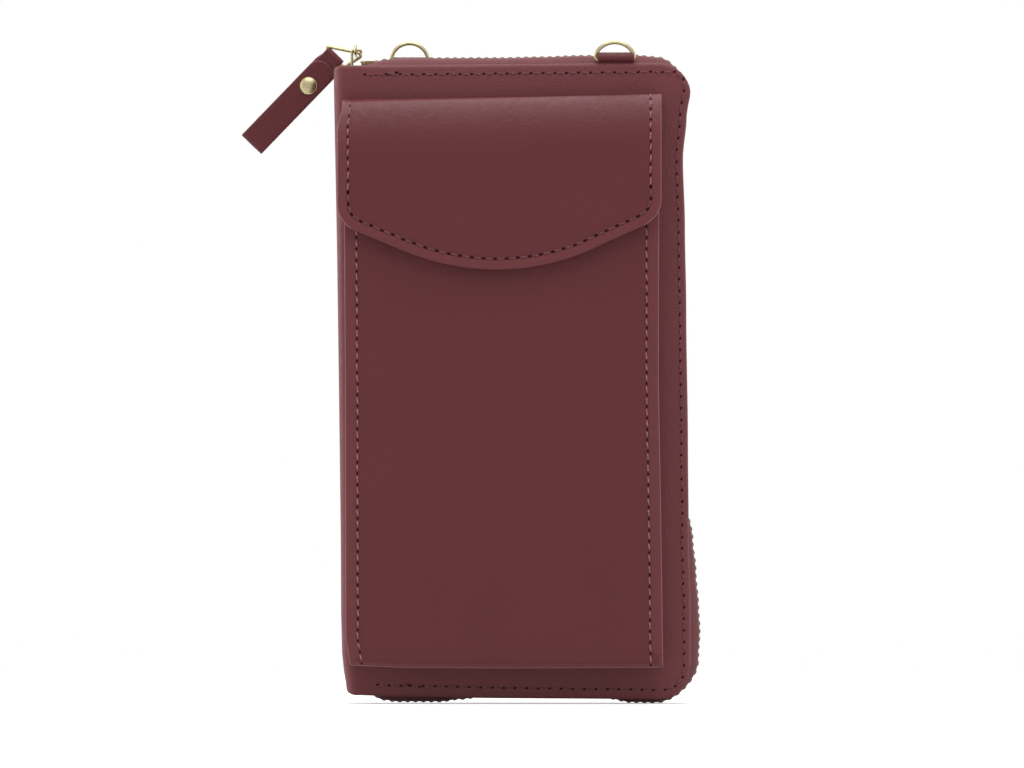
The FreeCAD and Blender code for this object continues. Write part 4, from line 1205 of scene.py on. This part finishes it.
def make_slider():
    """Slider body: two plates with a post between them, four flanges and the hooked bridge of the link."""
    bar = joint_place("link_tip")
    move = np.array((SLIDER_ALONG, 0.0, -SLIDER_DIP))
    low, high = SLIDER_LOW + move, SLIDER_HIGH + move
    plate_top = bar[2] - PLATE_DROP - SLIDER_DIP
    shape = Shape()
    outline = box_outline(low[:2], high[:2], PLATE_CORNER, 4, even(6), even(6))
    add_plate(shape, outline, plate_top - PLATE, PLATE, PLATE_EDGE)
    add_plate(shape, outline, low[2], PLATE, PLATE_EDGE)
    middle = bar[1]
    post = box_outline((low[0] + 0.2, middle - 0.5), (low[0] + 1.8, middle + 0.5), 0.4, 4, even(2), even(2))
    add_plate(shape, post, low[2] + PLATE / 2, plate_top - low[2] - PLATE, RAIL_EDGE)
    tape_top, tape_low = TAPE_HIGH[2] + 0.3 - SLIDER_DIP, TAPE_HIGH[2] - 0.9 - SLIDER_DIP
    for near, far in ((low[1], low[1] + RAIL_WIDE), (high[1] - RAIL_WIDE, high[1])):
        rail = box_outline((low[0] + RAIL_GAP, near), (high[0] - RAIL_GAP, far), 0.3, 4, even(4), even(4))
        add_plate(shape, rail, tape_top, plate_top - tape_top - RAIL_EDGE, RAIL_EDGE)
        add_plate(shape, rail, low[2] + RAIL_EDGE, tape_low - low[2] - RAIL_EDGE, RAIL_EDGE)
    foot, hook = bar[0] + BRIDGE_FOOT, bar[0] + BRIDGE_END
    path = rounded([(low[0] + 1.0, BRIDGE_ROOT), (foot, BRIDGE_ROOT), (foot, bar[2]), (hook, bar[2]),
                    (hook, bar[2] - BRIDGE_HOOK)], [0.7, 0.7, 0.5])
    path = np.stack([path[:, 0], np.full(len(path), middle), path[:, 1]], 1)
    rod(path, (0, 1, 0), BRIDGE_WIRE, squash=1.3, shape=shape)
    add_piece("slider_body", shape, [SLIDER_LOOK], "slider", "brass", "zip_slider")


def loop_path(corners, radius):
    """Closed path through corners in space, each rounded with one radius."""
    corners = np.array(corners, float)
    start = (corners[-1] + corners[0]) / 2
    return rounded(np.vstack([[start], corners, [start]]), [radius] * len(corners))[:-1]


# The link: how far it reaches past its two joints, and below and above them
LINK_REACH = 1.2
LINK_LOW = 0.9
LINK_HIGH = 1.25
LINK_CORNER = 1.05
LINK_WIRE = 0.38


def make_link():
    """Long wire link from the slider's bridge to the triangle ring."""
    near, far = joint_place("link_tip"), joint_place("pull_swing")
    along = units(far - near)
    up = np.cross((1, 0, 0), along)
    start, end = near - along * LINK_REACH, far + along * LINK_REACH
    corners = [start - up * LINK_LOW, end - up * LINK_LOW, end + up * LINK_HIGH, start + up * LINK_HIGH]
    shape = rod(loop_path(corners, LINK_CORNER), (1, 0, 0), LINK_WIRE, closed=True)
    add_piece("link_wire", shape, [BRASS_LOOK], "pull_link", "brass", "pull_link")


# Direction of the ring's bar, and the ring's length and place along it
STRAP_BAR = np.array(JOINTS["strap_swing"]["axis"], float)
RING_BASE = 9.6
RING_SHIFT = -1.8
RING_WIRE = 0.5
RING_CORNER = 0.8
# The ring's hooked corner, from the joint of ring and link
RING_HOOK = (2.7, 0.0, -0.4)


def make_ring():
    """Triangle ring: two bowed arms from the hooked corner to the bar that carries the strap."""
    middle = joint_place("strap_swing") + STRAP_BAR * RING_SHIFT
    hook = joint_place("pull_swing") + np.array(RING_HOOK)
    corners = [middle - STRAP_BAR * RING_BASE / 2, hook, middle + STRAP_BAR * RING_BASE / 2]
    shape = rod(loop_path(corners, RING_CORNER), (0, 1, 0), RING_WIRE, closed=True)
    add_piece("triangle_ring", shape, [BRASS_LOOK], "pull_ring", "brass", "pull_ring")


STRAP_WIDTH = 8.2
STRAP_LENGTH = 35.8
STRAP_TIP = 2.6
STRAP_HALF = 0.42
# How far strap and rivet sit to one side on the ring's bar, and the strap's neck beside that
STRAP_SHIFT = -0.9
STRAP_NECK_ASIDE = -0.5
STRAP_NECK_SHARE = 0.76
# From its tucked end: where the strap narrows and where it thins, and how much it thins
NECK_ONSET = (-14.5, 3.0)
THIN_ONSET = (-6.5, 3.0)
STRAP_THINNED = 0.45
# Half the gap between the strap's two layers, and the radius of its loop round the bar
STRAP_FOLD = 0.46
STRAP_LOOP = 0.94
# (inset, depth below the face) of the rings over a cut edge, alike on both faces
STRAP_EDGE = [(1.2, 0.0), (0.4, 0.0), (0.12, 0.08), (0.0, 0.22)]
TAB_EDGE = [(0.8, 0.0), (0.3, 0.0), (0.08, 0.08), (0.0, 0.16)]


def strip_profile(half, edge):
    """Rings of a strip of leather over its cut edge, from one face to the other."""
    front = [(inset, half - deep) for inset, deep in edge]
    return front + [(inset, -height) for inset, height in front[::-1]]


def make_strap():
    """Leather strap: one strip folded at the lower end, wrapped round the ring's bar and tucked in."""
    middle = joint_place("strap_swing") + STRAP_BAR * STRAP_SHIFT
    front = np.array((0.0, -1.0, 0.0))
    down = np.cross(STRAP_BAR, front)
    fold = STRAP_FOLD
    end = STRAP_LENGTH - fold - STRAP_HALF
    section = np.vstack([
        [(STRAP_TIP, 0.68), (11, 0.68), (15, fold), (end - 3, fold)],
        arc_points((end, 0), fold, 90, -180, 8),
        [(15, -fold), (10, -0.66), (3, -0.7)],
        arc_points((0, 0), STRAP_LOOP, -75, -210, 16),
        [(2.6, 0.3), (4.0, 0.06), (7.5, 0.0)]])
    run = lengths(section)
    place_strip = bent(section)

    def place(points, height):
        narrow = onset(points[:, 1] - run[-1], NECK_ONSET)
        thin = 1 - STRAP_THINNED * onset(points[:, 1] - run[-1], THIN_ONSET)
        across = points[:, 0] * (1 - (1 - STRAP_NECK_SHARE) * narrow) + STRAP_NECK_ASIDE * narrow
        points = np.stack([across, points[:, 1]], 1)
        placed = place_strip(points, -height * thin)
        return middle + placed[:, :1] * STRAP_BAR + placed[:, 1:2] * down + placed[:, 2:] * front

    half = STRAP_WIDTH / 2
    corners = (half - 0.2, half - 0.2, 0.5, 0.5)
    outline = box_outline((-half, 0), (half, run[-1]), corners, 12, even(6), even(170))
    shape = sheet(outline, strip_profile(STRAP_HALF, STRAP_EDGE), place, [(2, 5, 1, None)])
    add_piece("strap_leather", shape, [LEATHER_LOOK, CUT_EDGE_AND_HIGHLIGHT_LOOK], "pull_strap", "leather", "pull_strap")


def make_rivet():
    """Domed cap on the strap's front and the flatter head behind it."""
    centre = (RIVET_LOW + RIVET_HIGH) / 2 + STRAP_BAR * STRAP_SHIFT
    radius = (RIVET_HIGH[0] - RIVET_LOW[0]) / 2
    tall = RIVET_HIGH[1] - RIVET_LOW[1]
    dome = [(radius - 0.5, -0.2), (radius - 0.1, 0.0), (radius, 0.15), (radius - 0.06, 0.32)]
    shares = (0.92, 0.8, 0.64, 0.46, 0.26, 0.02)
    dome += [(radius * share, tall * (1 - share ** 2.6) + 0.06) for share in shares]
    cap = lathe(dome, (centre[0], RIVET_HIGH[1], centre[2]), -1)
    add_piece("rivet_dome", cap, [BRASS_LOOK], "pull_strap", "brass", "rivet_cap")
    behind = POST_HIGH[1] - tall
    flat = [(1.0, -2.0), (1.0, -0.3), (radius - 0.4, -0.1), (radius, 0.15), (radius - 0.1, tall - 0.3),
            (radius - 0.6, tall), (1.3, tall), (1.0, tall - 0.2), (0.02, tall - 0.25)]
    head = lathe(flat, (centre[0], behind, centre[2]), 1)
    add_piece("rivet_head", head, [BRASS_LOOK], "pull_strap", "brass", "rivet_post")


# Half width and height of each bow, as its ring leans, and its place along its bar
DRING_BOWS = {"left": (5.5, 5.35, -0.2), "right": (6.0, 5.4, -0.35)}
DRING_WIRE = 0.57
DRING_CORNER = 1.3
# Half thickness of each tab's leather, and how far its roll stands above the ring's bar
TABS = {"left": (0.3, 0.0), "right": (0.5, 0.8)}
TAB_TAIL = 3.6
# The tab's first layer in front of the bar, the end of its roll below it, its slack round the wire, and how
# much wider than its solid it is on each side
TAB_FRONT = 0.3
TAB_ROLL_END = 1.2
TAB_SLACK = 0.08
TAB_WIDER = 0.5


def make_dring(side, shell):
    """One D-ring and the leather tab that holds its bar in the top seam."""
    name = side + "_dring"
    pivot = joint_place(side + "_ring_tip")
    wide, tall, aside = DRING_BOWS[side]
    start = math.degrees(math.asin(DRING_CORNER / tall))
    arch = arc_points((0, 0), 1.0, start, 180 - 2 * start, 28) * (wide, tall)
    inner = arch[0, 0] - DRING_CORNER
    left = arc_points((-inner, DRING_CORNER), DRING_CORNER, 180, 90, 6)
    right = arc_points((inner, DRING_CORNER), DRING_CORNER, 270, 90, 6)
    flat = np.vstack([arch, left[1:], [(-2, 0), (2, 0)], right[:-1]])
    path = np.stack([pivot[0] + aside + flat[:, 0], np.full(len(flat), pivot[1]), pivot[2] + flat[:, 1]], 1)
    ring = rod(path, (0, 1, 0), DRING_WIRE, closed=True)
    add_piece(side + "_ring_wire", ring, [BRASS_LOOK], side + "_ring", "brass", name)
    low, high = node_box(name + "_tab")
    facing = 1 if shell == "front_shell" else -1
    half, lift = TABS[side]
    top = pivot[2] + lift
    near, far = pivot[1] - TAB_FRONT * facing, pivot[1] + (2 * half - TAB_FRONT) * facing
    section = np.vstack([
        [(near, pivot[2] - TAB_TAIL), (near, top - TAB_ROLL_END)],
        [(pivot[1] + facing * point[0], top + point[1])
         for point in arc_points((0, 0), DRING_WIRE + TAB_SLACK + half, 205, -230, 18)],
        [(far, top - TAB_ROLL_END), (far, pivot[2] - TAB_TAIL)]])
    place = bent(section)
    end = lengths(section)[-1]
    outline = box_outline((low[0] - TAB_WIDER, 0.0), (high[0] + TAB_WIDER, end), 0.3, 4, even(10), even(60))
    tab = sheet(outline, strip_profile(half, TAB_EDGE), place, [(2, 5, 1, None)])
    add_piece(side + "_ring_tab", tab, [LEATHER_LOOK, CUT_EDGE_AND_HIGHLIGHT_LOOK], shell, "leather", name + "_tab")


def make_snap():
    """Magnetic snap: the socket on the pocket and the stud under the flap."""
    centre = (SOCKET_LOW + SOCKET_HIGH) / 2
    tall = SOCKET_HIGH[1] - SOCKET_LOW[1]
    socket = [(6.0, -0.4), (6.0, 0.35), (5.75, 0.62), (5.3, 0.75), (3.9, 0.8), (3.55, tall - 0.1),
              (3.3, tall), (2.85, tall), (2.68, tall - 0.14), (2.66, 0.3), (0.02, 0.25)]
    shape = lathe(socket, (centre[0], SOCKET_HIGH[1], centre[2]), -1)
    add_piece("snap_socket_cap", shape, [BRASS_LOOK], "front_shell", "brass", "snap_socket")
    tall = STUD_HIGH[1] - STUD_LOW[1]
    stud = [(6.0, 0.0), (6.0, 0.2), (5.7, 0.42), (5.2, 0.5), (2.9, 0.52), (2.45, 0.65), (2.4, 0.9),
            (2.4, tall - 0.35), (2.25, tall - 0.1), (1.9, tall), (0.02, tall)]
    shape = lathe(stud, (centre[0], STUD_LOW[1], centre[2]), 1)
    add_piece("snap_stud_cap", shape, [BRASS_LOOK], "flap", "brass", "snap_stud")


# Inside: linings, card slots and boards

LINING_CORNERS = (0.4, 7.5, 7.5, 0.4)
CARD_SLOTS = 5
# The card slots' side seams: how far in they run, their pitch, how far they end from the slots' lower and
# upper edges, and how far the lowest one ends above the bottom
CARD_SEAM = 2.4
CARD_PITCH = 3.2
CARD_SEAM_ENDS = (0.6, 1.8)
CARD_SEAM_LOW = 3.0


def wall_place(base, facing):
    """Placer for an upright sheet: points are (across, up), height goes to the side it faces along Y."""
    def place(points, height):
        return np.stack([points[:, 0], base + facing * height, points[:, 1]], 1)
    return place


def make_lining(side, facing):
    """Cloth lining of one cover."""
    low, high = node_box(side + "_lining")
    base = low[1] if facing > 0 else high[1]
    thick = high[1] - low[1]
    outline = box_outline(low[::2], high[::2], LINING_CORNERS, 8, even(30), even(30))
    profile = [(3.0, thick), (1.6, thick), (1.1, thick - 0.1), (0.6, thick), (0.15, thick - 0.1),
               (0.0, thick / 2), (0.1, 0.02), (3.0, 0.02)]

    def place(points, height):
        return drape_shell(points[:, 0], base + facing * height, points[:, 1])

    shape = sheet(outline, profile, place)
    add_piece(side + "_lining_cloth", shape, [LINING_LOOK], side + "_shell", "lining", side + "_lining")


def make_card_slots(side, facing):
    """Stepped card slots of one cover, with the thread that holds them at both sides."""
    seams = Shape()
    tops = []
    for number in range(1, CARD_SLOTS + 1):
        node = f"{side}_card_slot_{number}"
        low, high = node_box(node)
        base = low[1] if facing > 0 else high[1]
        thick = high[1] - low[1]
        outline = box_outline(low[::2], high[::2], 1.2, 4, even(24), even(24))
        profile = [(3.0, thick), (1.9, thick), (1.5, thick - 0.1), (1.1, thick), (0.3, thick - 0.03),
                   (0.0, thick / 2), (0.15, 0.01), (3.0, 0.01)]
        shape = sheet(outline, profile, wall_place(base, facing))
        add_piece(node + "_leather", shape, [SLOT_LOOK], side + "_shell", "leather", node)
        tops.append((high[2], base + facing * thick, low, high))
    tops.append((tops[-1][2][2] + CARD_SEAM_LOW, None, None, None))
    for (top, level, low, high), below in zip(tops[:-1], tops[1:]):
        for across in (low[0] + CARD_SEAM, high[0] - CARD_SEAM):
            path = np.array([(across, below[0] + CARD_SEAM_ENDS[0]), (across, top - CARD_SEAM_ENDS[1])])
            stitch(path, wall_place(level, facing), 0.0, seams, pitch=CARD_PITCH)
    add_piece(side + "_card_slot_stitching", seams, [THREAD_LOOK, SHADED_HOLE_LOOK], side + "_shell", "leather")


def make_spine_lining():
    """Cloth lining of the spine."""
    low, high = node_box("spine_lining")
    thick = high[0] - low[0]

    def place(points, height):
        return drape_shell(low[0] + height, points[:, 0], points[:, 1])

    outline = box_outline(low[1:], high[1:], 0.5, 4, even(10), even(10))
    profile = [(1.0, thick), (0.3, thick - 0.05), (0.0, thick / 2), (0.2, 0.02), (1.0, 0.02)]
    shape = sheet(outline, profile, place)
    add_piece("spine_lining_cloth", shape, [LINING_LOOK], "back_shell", "lining", "spine_lining")


def finish_solids():
    """Materials of the solids that stay as they were packed."""
    for node in ("front_board", "back_board"):
        for slot in frame["nodes"][node].material_slots:
            slot.material = BOARD_LOOK


# Stage: camera, light and floor

VIEW_SCALE = 0.297
IMAGE_WIDTH = 1024
VIEW_CENTRE = (-0.3, 93.6)
VIEW_DISTANCE = 5000.0
SENSOR = 36.0
FLOOR = -1.4


def make_camera():
    """Level camera in front of the wallet, far enough away for little perspective."""
    data = bpy.data.cameras.new("camera")
    data.sensor_width = SENSOR
    data.lens = SENSOR * VIEW_DISTANCE / (VIEW_SCALE * IMAGE_WIDTH)
    camera = bpy.data.objects.new("camera", data)
    camera.location = (VIEW_CENTRE[0] * MM, (COVER_LOW[1] - VIEW_DISTANCE) * MM, VIEW_CENTRE[1] * MM)
    camera.rotation_euler = (math.pi / 2, 0, 0)
    bpy.context.scene.collection.objects.link(camera)
    bpy.context.scene.camera = camera


def make_lamp(name, place, target, size, power):
    """A soft square lamp that points at a target; places in metres."""
    data = bpy.data.lights.new(name, "AREA")
    data.shape = "SQUARE"
    data.size = size
    data.energy = power
    lamp = bpy.data.objects.new(name, data)
    lamp.location = place
    aim = Vector(target) - Vector(place)
    lamp.rotation_euler = aim.to_track_quat("-Z", "Y").to_euler()
    bpy.context.scene.collection.objects.link(lamp)


AMBIENT = 0.34
FLOOR_GLOW = 0.4


def seen_rays(tree):
    """1 for rays that show the background itself, to the camera or in gloss and glass."""
    path = tree.nodes.new("ShaderNodeLightPath")
    seen = summed(tree, path.outputs["Is Camera Ray"], path.outputs["Is Glossy Ray"], "MAXIMUM")
    return summed(tree, seen, path.outputs["Is Transmission Ray"], "MAXIMUM")


def make_world():
    """White to the camera and in reflections, and a dimmer even light on the object."""
    world = bpy.data.worlds.new("studio")
    bpy.context.scene.world = world
    world.use_nodes = True
    tree = world.node_tree
    background = tree.nodes["Background"]
    background.inputs["Color"].default_value = (1, 1, 1, 1)
    tree.links.new(mapped(tree, seen_rays(tree), AMBIENT, 1.0), background.inputs["Strength"])


def make_floor():
    """Plain pale floor under the wallet, white to the camera apart from the wallet's shadow."""
    pale = (0.72, 0.72, 0.72)
    material, tree, shader = new_material("pale_floor", pale, 0.9, specular=0.1)
    shaded(tree, shader, noise(tree, object_place(tree), 6.0), pale, 0.99, 1.01)
    shader.inputs["Emission Color"].default_value = (1, 1, 1, 1)
    tree.links.new(mapped(tree, seen_rays(tree), 0.0, FLOOR_GLOW), shader.inputs["Emission Strength"])
    mesh = bpy.data.meshes.new("floor")
    wide, near, far = 1.6, -1.3, 0.5
    mesh.from_pydata([(-wide, near, FLOOR * MM), (wide, near, FLOOR * MM), (wide, far, FLOOR * MM),
                      (-wide, far, FLOOR * MM)], [], [(0, 1, 2, 3)])
    mesh.materials.append(material)
    floor = bpy.data.objects.new("floor", mesh)
    bpy.context.scene.collection.objects.link(floor)


def main():
    """Build every piece, then the stage."""
    make_shell()
    make_pocket()
    make_flap()
    make_zip()
    make_slider()
    make_link()
    make_ring()
    make_strap()
    make_rivet()
    make_dring("right", "front_shell")
    make_dring("left", "back_shell")
    make_snap()
    for side, facing in (("front", 1), ("back", -1)):
        make_lining(side, facing)
        make_card_slots(side, facing)
    make_spine_lining()
    finish_solids()
    make_camera()
    make_world()
    make_lamp("top_lamp", (0.05, -0.5, 1.15), (0, 0, 0.1), 1.0, 10.0)
    make_lamp("rim_lamp", (0.0, 0.2, 0.95), (0, 0, 0.15), 0.9, 5.5)
    make_lamp("left_lamp", (-0.95, -0.1, 0.3), (0, 0, 0.1), 0.8, 4.5)
    make_lamp("left_rim_lamp", (-0.9, 0.3, 0.3), (0, 0, 0.1), 0.8, 4.5)
    make_lamp("right_lamp", (0.9, -0.3, 0.3), (0, 0, 0.1), 0.8, 3.0)
    make_floor()
    bpy.context.scene.view_settings.view_transform = "Standard"


main()
